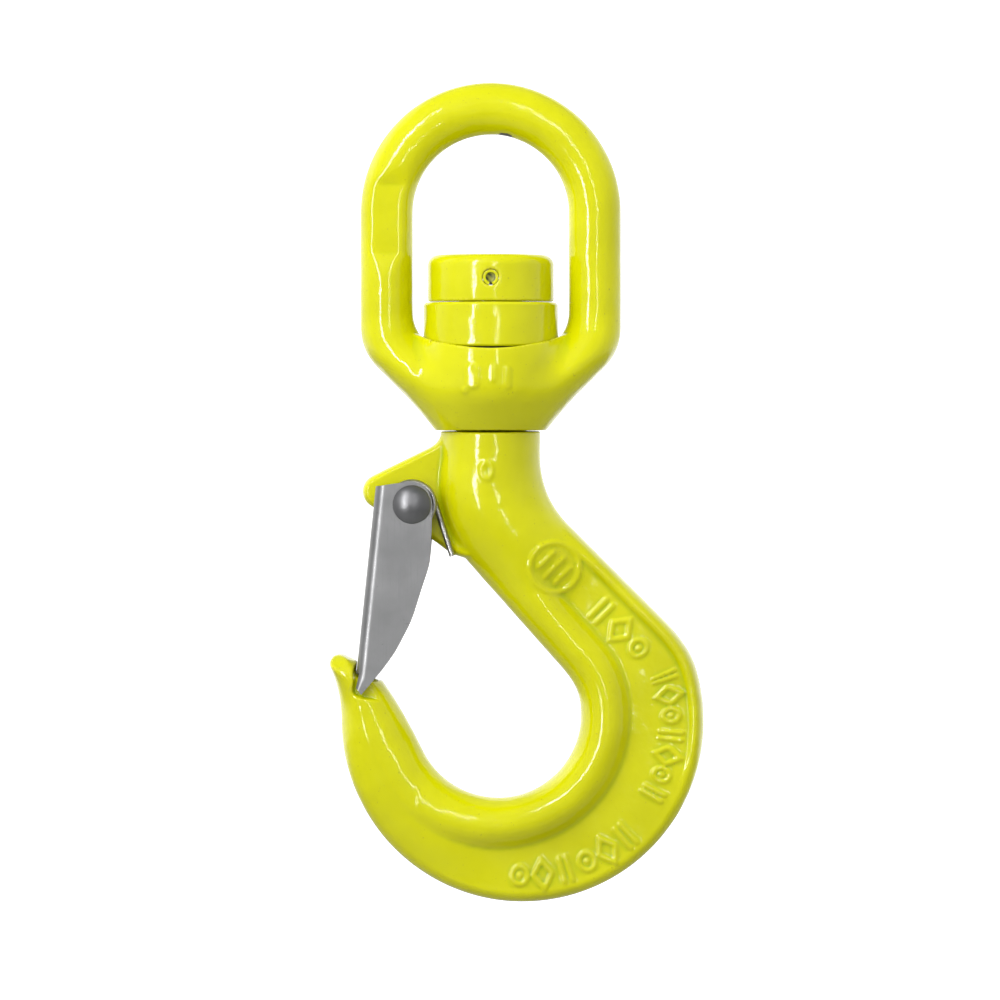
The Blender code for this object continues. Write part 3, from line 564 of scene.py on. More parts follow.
HOOK = sampled(hook_map, *((c.x / MM, c.z / MM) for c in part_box("hook_body")))


def hook_field(x, y, z):
    """The hook's map, the same on both faces."""
    return two_sided(HOOK, x, y, z)


# ---- Bail ----
def bail_edges():
    """The window's line and the outer line of the bail, both anticlockwise from the middle of the foot."""
    arch = (0, -HALF_WINDOW)
    corner = HALF_WINDOW - WINDOW_CORNER
    low = SEAT_Z + WINDOW_CORNER
    window = [[(0, SEAT_Z)], arc((corner, low), WINDOW_CORNER, -pi / 2, 0), arc(arch, HALF_WINDOW, 0, pi),
              arc((-corner, low), WINDOW_CORNER, pi, 1.5 * pi), [(0, SEAT_Z)]]
    outside = HALF_WINDOW + 2 * BAR_R
    turn = outside - SHOULDER_R
    turn_z = FOOT_Z + turn - BOSS_FOOT_R + SHOULDER_R * 2 ** 0.5
    outer = [[(0, FOOT_Z - 3)], [(BOSS_FOOT_R - 3, FOOT_Z - 3)], arc((turn, turn_z), SHOULDER_R, -pi / 4, 0),
             arc(arch, outside, 0, pi), arc((-turn, turn_z), SHOULDER_R, pi, 1.25 * pi),
             [(3 - BOSS_FOOT_R, FOOT_Z - 3)], [(0, FOOT_Z - 3)]]
    return Edge(np.concatenate(window), soft=0.8), Edge(np.concatenate(outer), soft=0.8)


WINDOW, OUTSIDE = bail_edges()


def boss_radius(z):
    """Radius of the turned boss at a height: a full belly under the rim, then a cone in to the foot."""
    depth = BOSS_RIM_Z - z
    belly = BOSS_BELLY_R - 0.9 * (np.clip(depth - BELLY_DEPTH, None, 0) / BELLY_DEPTH) ** 2
    cone = BOSS_FOOT_R + 0.7 * (z - FOOT_Z)
    return soft_min(belly, cone, 2.5)


def bail_map(x, z):
    """Squared half thickness of the bail: a round bar that thickens at the shoulders, and the boss."""
    _, window = WINDOW.measure(x, z)
    _, outside = OUTSIDE.measure(x, z)
    half = BAR_R + 8.5 * ramp(54, 80, -z)
    bar = oval(half, -window, outside)
    radius = boss_radius(z)
    boss = radius * np.abs(radius) - x ** 2
    rim_z = BOSS_RIM_Z + BOSS_RIM_SWEEP * (x / 20) ** 2
    boss = soft_min(boss, rounded_slab(BOSS_BELLY_R, rim_z - z, 0.6), 6.0)
    foot = rounded_slab(BOSS_BELLY_R, z - BAIL_FOOT_Z, 0.4)
    boss = soft_min(boss, foot, 3.0)
    boss = np.where(z > rim_z, np.minimum(boss, -1 - 40 * (z - rim_z)), boss)
    return soft_max(soft_min(bar, foot, 3.0), boss, 190.0)


BAIL = sampled(bail_map, *((c.x / MM, c.z / MM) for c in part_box("bail")))


# x, z, narrowing, half length, half width and height of each
SCALE_BLOBS = ((-5.5, -74.2, 0.8, 2.2, 1.6, 0.35), (0.8, -73.4, 1, 1.8, 0.9, 0.3),
               (5.2, -74.6, 1, 2.6, 0.9, 0.3), (-7.8, -78.6, 1, 0, 1.0, 0.3))


def bail_field(x, y, z):
    """The bail's map, less the bore, the round machined seat and the flat on the left leg.

    The crown is worn by 0.12 mm inside, and the front of the boss has four low blobs of scale.
    """
    field = two_sided(BAIL, x, y, z)
    around = np.hypot(x, y)
    bore = np.maximum(around - BORE_R, z - (SEAT_Z + 12))
    field = soft_max(field, -bore, 0.5)
    seat = np.maximum(np.maximum(around - (COVER_R + SEAT_GAP), SEAT_Z - z), z - (SEAT_Z + 16))
    field = soft_max(field, -seat, 0.5)
    depth = BAR_R + PAD_FACE
    slant = hypot(depth, PAD_RAMP)
    top = ((z - PAD_TOP + PAD_RAMP) * depth + (y - PAD_FACE) * PAD_RAMP) / slant
    foot = ((PAD_FOOT + PAD_RAMP - z) * depth + (y - PAD_FACE) * PAD_RAMP) / slant
    planed = np.maximum(np.maximum(y - PAD_FACE, soft_max(top, foot, 0.5)), x + HALF_WINDOW - 4)
    field = soft_max(field, -planed, 0.9)
    worn = 0.12 * (1 - ramp(2.0, 3.6, np.hypot((x - WEAR_X) * 0.8, z) + 0.4 * np.abs(y + 1)))
    scale = sum(raised(bar_sign((x - at_x) * narrow, z - at_z, half_length, half_width), height)
                for at_x, at_z, narrow, half_length, half_width, height in SCALE_BLOBS)
    return field + worn - np.where(y < 0, scale, 0)


# ---- Nut ----
def nut_field(x, y, z):
    """A ring with a soft upper edge and a bored pin hole across it, as distances to its faces."""
    around = np.hypot(x, y)
    out, up = (np.clip(d + NUT_EDGE, 0, None) for d in (around - NUT_R, z - NUT_TOP_Z))
    corner = np.hypot(out, up) - NUT_EDGE
    outer = np.maximum(np.maximum(around - NUT_R, z - NUT_TOP_Z), corner)
    outer = soft_max(outer, NUT_Z - z, 0.5)
    bore = around - (SHANK_R + TOUCH)
    field = soft_max(outer, -bore, 0.7)
    hole = np.hypot(x, z - LOCK_PIN_Z) - (LOCK_PIN_R + 0.14)
    return soft_max(field, -hole, 0.25)


# ---- Turned pieces ----
def rounded(corners, closed=True, count=7):
    """A polygon of (across, height, radius) corners, each rounded by an arc tangent to both its sides.

    A point on either side of each arc keeps the straight sides flat when the piece is shaded smooth.
    """
    out = []
    flank = 0.05
    for i, (across, height, radius) in enumerate(corners):
        here = np.array([across, height], float)
        if radius == 0 or (not closed and i in (0, len(corners) - 1)):
            out.append(here[None])
            continue
        before = np.array(corners[i - 1][:2]) - here
        after = np.array(corners[(i + 1) % len(corners)][:2]) - here
        before, after = before / np.hypot(*before), after / np.hypot(*after)
        half = np.arccos(before @ after) / 2
        reach = radius / tan(half)
        centre = here + (before + after) / np.hypot(*(before + after)) * radius / sin(half)
        first, last = here + before * reach - centre, here + after * reach - centre
        turn = pi - 2 * half
        t = np.linspace(0, 1, count)[:, None]
        bow = (np.sin((1 - t) * turn) * first + np.sin(t * turn) * last) / sin(turn)
        out += [(here + before * (reach + flank))[None], centre + bow, (here + after * (reach + flank))[None]]
    return np.concatenate(out)


def turned(name, profile, steps=160, closed=True, start=0, turn=2 * pi, along_y=False, at=(0, 0, 0)):
    """A profile of (radius, height) points turned about Z: x = radius cos a, y = radius sin a, z = height.

    A closed profile makes a ring, and an open one starts and ends on the axis. A turn short of a
    full one gets flat ends, each a fan from the middle of the profile. The axis may be laid along Y,
    and then the piece is moved to its place.
    """
    full = turn >= 2 * pi
    angle = start + turn * np.arange(steps) / (steps if full else steps - 1)
    radius, height = profile[:, 0][:, None], profile[:, 1][:, None]
    points = np.stack([radius * np.cos(angle), radius * np.sin(angle), height + 0 * angle], -1)
    if not full:
        ends = [np.broadcast_to(points[:, i].mean(0), points[:, i].shape)[:, None] for i in (0, -1)]
        points = np.concatenate([ends[0], points, ends[1]], 1)
    if along_y:
        points = points[..., [0, 2, 1]] * (1, 1, -1)
    faces = grid_faces(points.shape[0], points.shape[1], wrap_rows=closed, wrap_columns=full)
    return new_mesh(name, points.reshape(-1, 3) + at, faces)


def add_turned(name, profile, material, slot, body, node, sharp=None, **how):
    """Turn a profile as the function above does, and add the piece."""
    mesh = turned(name, profile, **how)
    finish_mesh(mesh, sharp)
    mark_edges(mesh)
    add_piece(name, mesh, material, body, node)


def make_cover(paint):
    """The bearing's cup: a wall with a small chamfered shoulder above and a rolled rim below."""
    low, high = (corner.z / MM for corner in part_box("bearing_cover"))
    inside_z = high - 2.0
    profile = rounded([(BORE_R, inside_z, 0.2), (BORE_R, high, 0.3), (COVER_R - 0.75, high, 0.35),
                       (COVER_R - 0.12, high - 0.75, 0.4), (COVER_R, low, COVER_EDGE),
                       (COVER_INSIDE_R, low, 0.3), (COVER_INSIDE_R, inside_z, 0.6)])
    add_turned("bearing_cover_shell", profile, paint, "chartreuse_paint", "hook", "bearing_cover", steps=220)


def make_lock_pin(paint):
    """A rolled pin: its wall's rounded section turned about the pin's axis, open along a slot."""
    half = NUT_R - 0.35
    slot = PIN_SLOT / LOCK_PIN_R
    inside = LOCK_PIN_R - PIN_WALL
    wall = rounded([(inside, -half, 0.2), (LOCK_PIN_R, -half, 0.3),
                    (LOCK_PIN_R, half, 0.3), (inside, half, 0.2)])
    add_turned("nut_roll_pin", wall, paint, "chartreuse_paint", "hook", "nut_lock_pin", sharp=40, steps=48,
               start=pi / 2 + slot / 2, turn=2 * pi - slot, along_y=True, at=(0, 0, LOCK_PIN_Z))


def make_pin_plug(paint):
    """The paint that has filled the rolled pin's bore: a dished plug turned about the pin's axis."""
    half = NUT_R - 1.1
    reach = LOCK_PIN_R - PIN_WALL + 0.12
    out = np.linspace(0, 1, 10)[:, None]
    dish = np.concatenate([reach * out, half - 0.35 * (1 - out ** 2)], 1)
    profile = np.concatenate([dish, dish[::-1] * (1, -1)])
    add_turned("nut_pin_paint_plug", profile, paint, "chartreuse_paint", "hook", "nut_lock_pin", sharp=50,
               steps=40, closed=False, along_y=True, at=(0, 0, LOCK_PIN_Z))


def make_seal(rubber):
    """The dust seal: a ring with a thin lip that fills the gap under the cover's rim."""
    low, high = (corner.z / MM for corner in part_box("dust_seal"))
    inside, outside, lip = RACE_R + TOUCH, COVER_INSIDE_R - TOUCH, COVER_R - COVER_EDGE
    lip_top = low + 0.4
    profile = rounded([(inside, low, 0.1), (lip, low, 0.15), (lip, lip_top, 0.15), (outside, lip_top, 0.1),
                       (outside, high, 0.2), (inside, high, 0.2)])
    add_turned("dust_seal_ring", profile, rubber, "seal_rubber", "hook", "dust_seal")


def make_race(name, node, body, steel):
    """A bearing race: a ring with rounded corners and a groove, an arc a little wider than a ball."""
    low, high = (corner.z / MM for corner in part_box(node))
    upper = high > BALL_Z
    face, back = (low, high) if upper else (high, low)
    toward = 1 if upper else -1
    groove_r = BALL_R + TOUCH
    open_by = np.arccos(abs(face - BALL_Z) / groove_r)
    groove = on_circle((PITCH_R, BALL_Z), groove_r, toward * (pi / 2 + np.linspace(open_by, -open_by, 17)))
    corners = rounded([(groove[-1][0], face, 0), (RACE_R, face, 0.3), (RACE_R, back, 0.5),
                       (BORE_R, back, 0.5), (BORE_R, face, 0.3), (groove[0][0], face, 0)], closed=False)
    profile = np.concatenate([groove, corners[1:-1]])
    add_turned(name, profile, steel, "bearing_steel", body, node, sharp=50, steps=144)


def make_ball(number, steel):
    """A ball: the half circle (r sin a, r cos a) turned about Z, in its pocket of the cage."""
    node = f"ball_{number:02d}"
    low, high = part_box(node)
    angle = np.linspace(0, pi, 25)
    profile = np.stack([BALL_R * np.sin(angle), BALL_R * np.cos(angle)], 1)
    add_turned(f"bearing_{node}", profile, steel, "bearing_steel", node, node, steps=40, closed=False,
               at=(np.array(low) + np.array(high)) / 2 / MM)


def make_rivet(steel):
    """The latch's rivet: two domed heads with a rounded brim on a shaft, turned about the pivot."""
    base = LATCH_HALF + 0.05
    rise = RIVET_HEAD_HEIGHT - 0.5
    dome_r = (RIVET_HEAD_R ** 2 + rise ** 2) / (2 * rise)
    spread = np.arcsin((RIVET_HEAD_R - 0.25) / dome_r)
    dome = on_circle((0, base + RIVET_HEAD_HEIGHT - dome_r), dome_r, pi / 2 - np.linspace(0, spread, 22))
    brim = rounded([(*dome[-1], 0), (RIVET_HEAD_R, base + 0.45, 0.2),
                    (RIVET_HEAD_R - 0.1, base, 0.12), (RIVET_R, base, 0)], closed=False)
    half = np.concatenate([dome, brim[1:]])
    profile = np.concatenate([half, half[::-1] * (1, -1)])
    profile[[0, -1], 0] = 0
    add_turned("latch_rivet", profile, steel, "rivet_steel", "latch", "latch_pin", sharp=50, steps=96,
               closed=False, along_y=True, at=(PIVOT[0], 0, PIVOT[1]))


# ---- Latch ----
def latch_front():
    """The front line of a flange, from over the pivot round the crown and down to the beak's end."""
    crown = np.linspace(pi / 2, 0, 20)
    points = [np.stack([LATCH_FRONT * np.cos(crown), LATCH_CROWN * np.sin(crown)], 1)]
    for share, width in LATCH_WIDTHS:
        drop = BEAK_DROP * share
        points.append([(-LATCH_BACK - LATCH_LEAN * drop + width, -drop)])
    return Edge(np.concatenate(points), soft=1.6).points


def make_latch(steel):
    """The latch's sheet, bent to a channel: rows run from a flange's front line, round a bend of
    BEND_R, across the web, and back round to the other flange, and they follow one another down the
    latch. Each row is a straight line in the flange, so the flange is ruled between its front line
    and the bend. The web has a notch for the lug and stops short of the beak. Solidify gives the
    sheet its thickness inwards and Bevel breaks its sheared edges.
    """
    front = evenly(latch_front(), 0.55)
    share = (LATCH_CROWN - front[:, 1]) / (LATCH_CROWN + BEAK_DROP)
    back_z = LATCH_TOP - share * (LATCH_TOP + BEAK_DROP - BEAK_HEEL)
    back = np.stack([-LATCH_BACK + LATCH_LEAN * back_z, back_z], 1)
    width = np.hypot(*(front - back).T)[:, None]
    bend = np.minimum(BEND_R, width * 0.55)
    angle = np.linspace(0, pi / 2, 9)
    flat = np.linspace(0, 1, 16)[:-1]
    depth_half = np.concatenate([width * (1 - flat) + bend * flat, bend * (1 - np.sin(angle))], 1)
    y_half = np.concatenate([np.full(len(flat), LATCH_HALF), LATCH_HALF - BEND_R * (1 - np.cos(angle))])
    beside = np.linspace(LATCH_HALF - BEND_R, NOTCH_HALF, 5)
    y_web = np.concatenate([beside[1:], np.linspace(NOTCH_HALF, -NOTCH_HALF, 9)[1:-1], -beside[:0:-1]])
    depth = np.concatenate([depth_half, np.zeros((len(front), len(y_web))), depth_half[:, ::-1]], 1)
    y = np.concatenate([-y_half, -y_web, y_half[::-1]])
    along = (front - back) / width
    x = PIVOT[0] + back[:, :1] + along[:, :1] * depth
    z = PIVOT[1] + back[:, 1:] + along[:, 1:] * depth
    points = np.stack([x, np.broadcast_to(y, x.shape), z], -1)
    faces = grid_faces(*x.shape)
    middle = points.reshape(-1, 3)[faces].mean(1)
    drop = PIVOT[1] - middle[:, 2]
    in_notch = (np.abs(middle[:, 1]) < NOTCH_HALF) & (drop < NOTCH_DROP)
    past_web = (np.abs(middle[:, 1]) < LATCH_HALF - 1.0) & (drop > WEB_END_DROP)
    mesh = new_mesh("latch_channel", points.reshape(-1, 3), faces[~(in_notch | past_web)])
    bm = bmesh.new()
    bm.from_mesh(mesh)
    bmesh.ops.delete(bm, geom=[v for v in bm.verts if not v.link_faces], context="VERTS")
    bm.faces.ensure_lookup_table()
    if bm.faces[0].normal.y > 0:
        bmesh.ops.reverse_faces(bm, faces=bm.faces)
    bm.to_mesh(mesh)
    bm.free()
    mesh.shade_smooth()
    latch = add_piece("latch_channel", mesh, steel, "latch", "latch")
    sheet = latch.modifiers.new("sheet", "SOLIDIFY")
    sheet.thickness = SHEET * MM
    sheet.offset = -1
    sheet.use_even_offset = True
    edges = latch.modifiers.new("edges", "BEVEL")
    edges.width = 0.35 * MM
    edges.segments = 3
    edges.limit_method = "ANGLE"
    edges.angle_limit = radians(50)
    edges.harden_normals = True


# ---- Spring ----
def tube(name, path, radius, across, sides=20):
    """A round wire: a circle carried along a path, kept upright to the direction across, with
    slightly rounded ends that close on the wire's middle.
    """
    path = np.asarray(path, float)
    forward = np.gradient(path, axis=0)
    forward /= np.linalg.norm(forward, axis=1)[:, None]
    side = np.cross(forward, across)
    side /= np.linalg.norm(side, axis=1)[:, None]
    up = np.cross(side, forward)
    edge = np.array([1, 1, 0.8, 0])
    in_by = np.array([0.2, 0.05, 0, 0])
    share = np.concatenate([edge[::-1], np.ones(len(path) - 2), edge])
    keep = np.concatenate([np.zeros(4, int), np.arange(1, len(path) - 1), np.full(4, len(path) - 1)])
    shift = np.concatenate([in_by[::-1], np.zeros(len(path) - 2), -in_by]) * radius
    centre = path[keep] + forward[keep] * shift[:, None]
    turn = np.linspace(0, 2 * pi, sides, endpoint=False)
    ring = side[keep][:, None] * np.cos(turn)[:, None] + up[keep][:, None] * np.sin(turn)[:, None]
    points = centre[:, None] + ring * radius * share[:, None, None]
    mesh = new_mesh(name, points.reshape(-1, 3), grid_faces(len(keep), sides, wrap_columns=True))
    finish_mesh(mesh)
    return mesh


def make_spring(steel):
    """The double torsion spring: a leg by the lug, a coil beside it, and a bridge inside the web.

    Each coil is a helix about the pivot. The bridge between the coils rides the latch.
    """
    start = np.arctan(LEG_LEAN)
    leg = np.array([LEG_LEAN, -1]) / hypot(LEG_LEAN, 1)
    bridge_x = -LATCH_BACK - LATCH_LEAN * BRIDGE_DROP + SHEET + TOUCH + WIRE_R
    bridge = PIVOT + (bridge_x, -BRIDGE_DROP)
    away = bridge - PIVOT
    finish = np.arctan2(away[1], away[0]) - np.arccos(COIL_R / np.hypot(*away))
    sweep = (finish - start) % (2 * pi) + 2 * pi
    t = np.linspace(0, 1, 150)
    coil = on_circle(PIVOT, COIL_R, start + sweep * t)
    straight = coil[0] + leg * np.linspace(LEG_LENGTH, 0, 24)[:-1, None]
    down = (bridge - coil[-1]) / np.hypot(*(bridge - coil[-1]))
    corner = 2 * WIRE_R
    turn = np.linspace(0, pi / 2, 10)
    to_corner = np.hypot(*(bridge - coil[-1])) - corner
    inner_leg = coil[-1] + down * np.linspace(0, to_corner, 14)[:-1, None]
    bend = bridge - down * corner * (1 - np.sin(turn))[:, None]
    bend_y = COIL_END_Y - corner * (1 - np.cos(turn))
    for name, side in (("front", -1), ("back", 1)):
        y = np.concatenate([np.full(len(straight), COIL_Y), COIL_Y + (COIL_END_Y - COIL_Y) * t]) * side
        flat = np.concatenate([straight, coil])
        mesh = tube(f"latch_spring_{name}", np.stack([flat[:, 0], y, flat[:, 1]], 1), WIRE_R, (0, 1, 0))
        piece = add_piece(f"latch_spring_{name}", mesh, steel)
        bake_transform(piece)
        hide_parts("latch_spring")
    half = np.concatenate([inner_leg, bend])
    half_y = np.concatenate([np.full(len(inner_leg), COIL_END_Y), bend_y])
    route = np.stack([half[:, 0], -half_y, half[:, 1]], 1)
    route = np.concatenate([route, (route * (1, -1, 1))[::-1]])
    mesh = tube("latch_spring_bridge", route, WIRE_R, np.cross((down[0], 0, down[1]), (0, 1, 0)))
    add_piece("latch_spring_bridge", mesh, steel, "latch", "latch_spring")


# ---- Materials ----
def linear(code):
    """A colour written as an sRGB hex code, as the linear numbers a shader works in."""
    values = np.array([int(code[i:i + 2], 16) / 255 for i in (1, 3, 5)])
    values = np.where(values <= 0.04045, values / 12.92, ((values + 0.055) / 1.055) ** 2.4)
    return (*values.tolist(), 1.0)


def grains(size):
    """The scale of a pattern whose grains are about size mm across."""
    return 1 / (size * MM)


def add(tree, kind, sockets, take=0, **settings):
    """Add a node with its settings and links, and return one of its outputs.

    A socket's value is a number, a vector or a colour, or another node's output.
    """
    node = tree.nodes.new("ShaderNode" + kind)
    for key, value in settings.items():
        setattr(node, key, value)
    for key, value in sockets.items():
        if isinstance(value, bpy.types.NodeSocket):
            tree.links.new(value, node.inputs[key])
        else:
            node.inputs[key].default_value = value
    return node.outputs[take] if node.outputs else None


def new_material(name):
    """An empty material, its node tree, and the place on the piece, which its patterns read."""
    material = bpy.data.materials.new(name)
    material.use_nodes = True
    tree = material.node_tree
    tree.nodes.clear()
    return material, tree, add(tree, "TexCoord", {}, take="Object")


def powder_coat(name, bare_spot=None):
    """Chartreuse powder coat on a drop forging, stoved to a high gloss.

    The film melts and flows, so it has orange peel about 2 mm across and slower waves from the
    scale under it. Its outer edges are painted lighter and warmer in patches, a painted highlight,
    and its hollows darker and greener, painted shade. A bare spot, a centre and a radius in mm,
    shows the dark forged steel.
    """
    material, tree, place = new_material(name)
    edge = add(tree, "Attribute", {}, take="Fac", attribute_name="edge")
    cloud, fine, dots, flow, peel, wave = (
        add(tree, "TexNoise", {"Vector": place, "Scale": grains(size), "Detail": detail})
        for size, detail in ((26, 3), (1.1, 3), (0.8, 1), (9, 4), (2.2, 2), (9, 1)))
    share, hollow, patchy, edge_highlight_share, speck = (
        add(tree, "MapRange", {"Value": value, "From Min": low, "From Max": high, "To Max": most})
        for value, low, high, most in ((cloud, 0.35, 0.65, 1), (edge, -0.04, -0.4, 1),
                                       (fine, 0.42, 0.7, 0.55), (edge, 0.16, 0.7, 1), (dots, 0.73, 0.78, 1)))
    # Painted highlight: lighter and warmer on outer edges, broken into patches.
    painted_edge_highlight = add(tree, "Math", {0: edge_highlight_share, 1: patchy}, operation="MULTIPLY")
    gloss = add(tree, "MapRange", {"Value": flow, "From Min": 0.3, "From Max": 0.7,
                                   "To Min": 0.08, "To Max": 0.15})
    # Layers: random clouds, painted shade in hollows, the painted highlight on edges, and specks.
    layers = [(share, "#d5d404"), (hollow, "#a6b600"), (painted_edge_highlight, "#f0e25a"), (speck, "#b9b51a")]
    if bare_spot:
        centre, radius = bare_spot
        offset = add(tree, "VectorMath", {0: place, 1: [v * MM for v in centre]}, operation="SUBTRACT")
        away = add(tree, "VectorMath", {0: offset}, take="Value", operation="LENGTH")
        torn = add(tree, "TexNoise", {"Vector": place, "Scale": grains(1.6), "Detail": 3})
        ragged = add(tree, "Math", {0: torn, 1: 2.2 * MM, 2: away}, operation="MULTIPLY_ADD")
        limit = (radius + 1.1) * MM
        bare = add(tree, "MapRange", {"Value": ragged, "From Min": limit, "From Max": limit - 0.3 * MM})
        gloss = add(tree, "Math", {0: bare, 1: 0.3, 2: gloss}, operation="MULTIPLY_ADD")
        layers.append((bare, "#3c3a3a"))
    base = linear("#cbca00")
    for cover, colour in layers:
        base = add(tree, "Mix", {0: cover, 6: base, 7: linear(colour)}, take=2, data_type="RGBA")
    peel = add(tree, "Bump", {"Strength": 0.4, "Distance": 0.2 * MM, "Height": peel})
    wave = add(tree, "Bump", {"Strength": 0.36, "Distance": 1.2 * MM, "Height": wave, "Normal": peel})
    shader = add(tree, "BsdfPrincipled", {"Base Color": base, "Roughness": gloss, "Metallic": 0, "IOR": 1.5,
                                          "Specular IOR Level": 0.42, "Normal": wave})
    add(tree, "OutputMaterial", {"Surface": shader})
    return material


def satin_sheet(name):
    """Cold-rolled sheet steel, zinc plated and tumbled.

    It is an even satin grey with faint rolling lines down the latch, darker handling marks and soft
    dents. The lines are drawn 0.7 mm apart, much coarser than the real ones, so that they show.
    """
    material, tree, place = new_material(name)
    turn = {"Vector": place, "Rotation": (0, radians(6), 0), "Scale": (1, 1, 0.06)}
    lines, cloud, scuff, dents = (
        add(tree, "TexNoise", {"Vector": spot, "Scale": grains(size), "Detail": detail, "Roughness": rough})
        for spot, size, detail, rough in ((add(tree, "Mapping", turn), 0.7, 4, 0.6), (place, 11, 4, 0.5),
                                          (place, 2.6, 5, 0.7), (place, 7, 2, 0.5)))
    base = linear("#818182")
    for value, low, high, colour in ((cloud, 0.3, 0.7, "#8e8e8f"), (lines, 0.55, 0.8, "#808082"),
                                     (scuff, 0.66, 0.74, "#747476")):
        cover = add(tree, "MapRange", {"Value": value, "From Min": low, "From Max": high})
        base = add(tree, "Mix", {0: cover, 6: base, 7: linear(colour)}, take=2, data_type="RGBA")
    gloss = add(tree, "MapRange", {"Value": lines, "From Min": 0.3, "From Max": 0.75,
                                   "To Min": 0.34, "To Max": 0.46})
    grain = add(tree, "Bump", {"Strength": 0.12, "Distance": 0.06 * MM, "Height": lines})
    dents = add(tree, "Bump", {"Strength": 0.18, "Distance": 0.5 * MM, "Height": dents, "Normal": grain})
    shader = add(tree, "BsdfPrincipled", {"Base Color": base, "Metallic": 0.85, "Roughness": gloss,
                                          "Normal": dents})
    add(tree, "OutputMaterial", {"Surface": shader})
    return material


def clouded_finish(name, light, dark, rough, grain_mm, metal=1.0, bump=0.12):
    """One finish in two shades: clouds six grains wide, and a fine grain in its gloss and its bump.

    Ground, drawn and pressed metals differ in these values alone: a small grain and a low roughness
    is a ground or drawn face, and a large grain and a higher one is as forged.
    """
    material, tree, place = new_material(name)
    cloud = add(tree, "TexNoise", {"Vector": place, "Scale": grains(grain_mm * 6), "Detail": 4})
    share = add(tree, "MapRange", {"Value": cloud, "From Min": 0.32, "From Max": 0.68})
    base = add(tree, "Mix", {0: share, 6: linear(dark), 7: linear(light)}, take=2, data_type="RGBA")
    fine = add(tree, "TexNoise", {"Vector": place, "Scale": grains(grain_mm), "Detail": 3})
    gloss = add(tree, "MapRange", {"Value": fine, "From Min": 0.3, "From Max": 0.7,
                                   "To Min": rough * 0.8, "To Max": rough * 1.2})
    grain = add(tree, "Bump", {"Strength": bump, "Distance": 0.1 * MM, "Height": fine})
    shader = add(tree, "BsdfPrincipled", {"Base Color": base, "Metallic": metal, "Roughness": gloss,
                                          "Normal": grain})
    add(tree, "OutputMaterial", {"Surface": shader})
    return material


def nitrile_rubber(name):
    """Moulded nitrile rubber: near black, dull, dusted grey in patches."""
    material, tree, place = new_material(name)
    dust = add(tree, "TexNoise", {"Vector": place, "Scale": grains(4), "Detail": 5, "Roughness": 0.6})
    dust = add(tree, "MapRange", {"Value": dust, "From Min": 0.45, "From Max": 0.75})
    base = add(tree, "Mix", {0: dust, 6: linear("#161616"), 7: linear("#3a3a34")}, take=2, data_type="RGBA")
    gloss = add(tree, "MapRange", {"Value": dust, "To Min": 0.55, "To Max": 0.8})
    pits = add(tree, "TexNoise", {"Vector": place, "Scale": grains(0.6)})
    pits = add(tree, "Bump", {"Strength": 0.2, "Distance": 0.1 * MM, "Height": pits})
    shader = add(tree, "BsdfPrincipled", {"Base Color": base, "Metallic": 0, "IOR": 1.52, "Roughness": gloss,
                                          "Normal": pits})
    add(tree, "OutputMaterial", {"Surface": shader})
    return material


def tent_cloth(name, floor_z):
    """White tent cloth lit from outside: the floor near the hook is plain and pale, and the walls
    and the far floor glow, white behind the hook and softer in front of it.
    """
    material, tree, place = new_material(name)
    flat = add(tree, "VectorMath", {0: place, 1: (1, 1, 0)}, operation="MULTIPLY")
    away = add(tree, "VectorMath", {0: flat}, take="Value", operation="LENGTH")
    height, behind = (add(tree, "SeparateXYZ", {"Vector": place}, take=axis) for axis in "ZY")
    wall = add(tree, "MapRange", {"Value": height, "From Min": floor_z + 0.05, "From Max": floor_z + 0.5,
                                  "To Min": 0.05})
    far = add(tree, "MapRange", {"Value": away, "From Min": 1.2, "From Max": 2.4})
    wall = add(tree, "Math", {0: wall, 1: far}, operation="MAXIMUM")
    behind = add(tree, "MapRange", {"Value": behind, "From Min": -1.0, "From Max": 1.6, "To Min": 0.26,
                                    "To Max": 1.02})
    glow = add(tree, "Math", {0: wall, 1: behind}, operation="MULTIPLY")
    shader = add(tree, "BsdfPrincipled", {"Base Color": linear("#a6a6a4"), "Roughness": 0.9,
                                          "Emission Color": linear("#ffffff"), "Emission Strength": glow})
    add(tree, "OutputMaterial", {"Surface": shader})
    return material


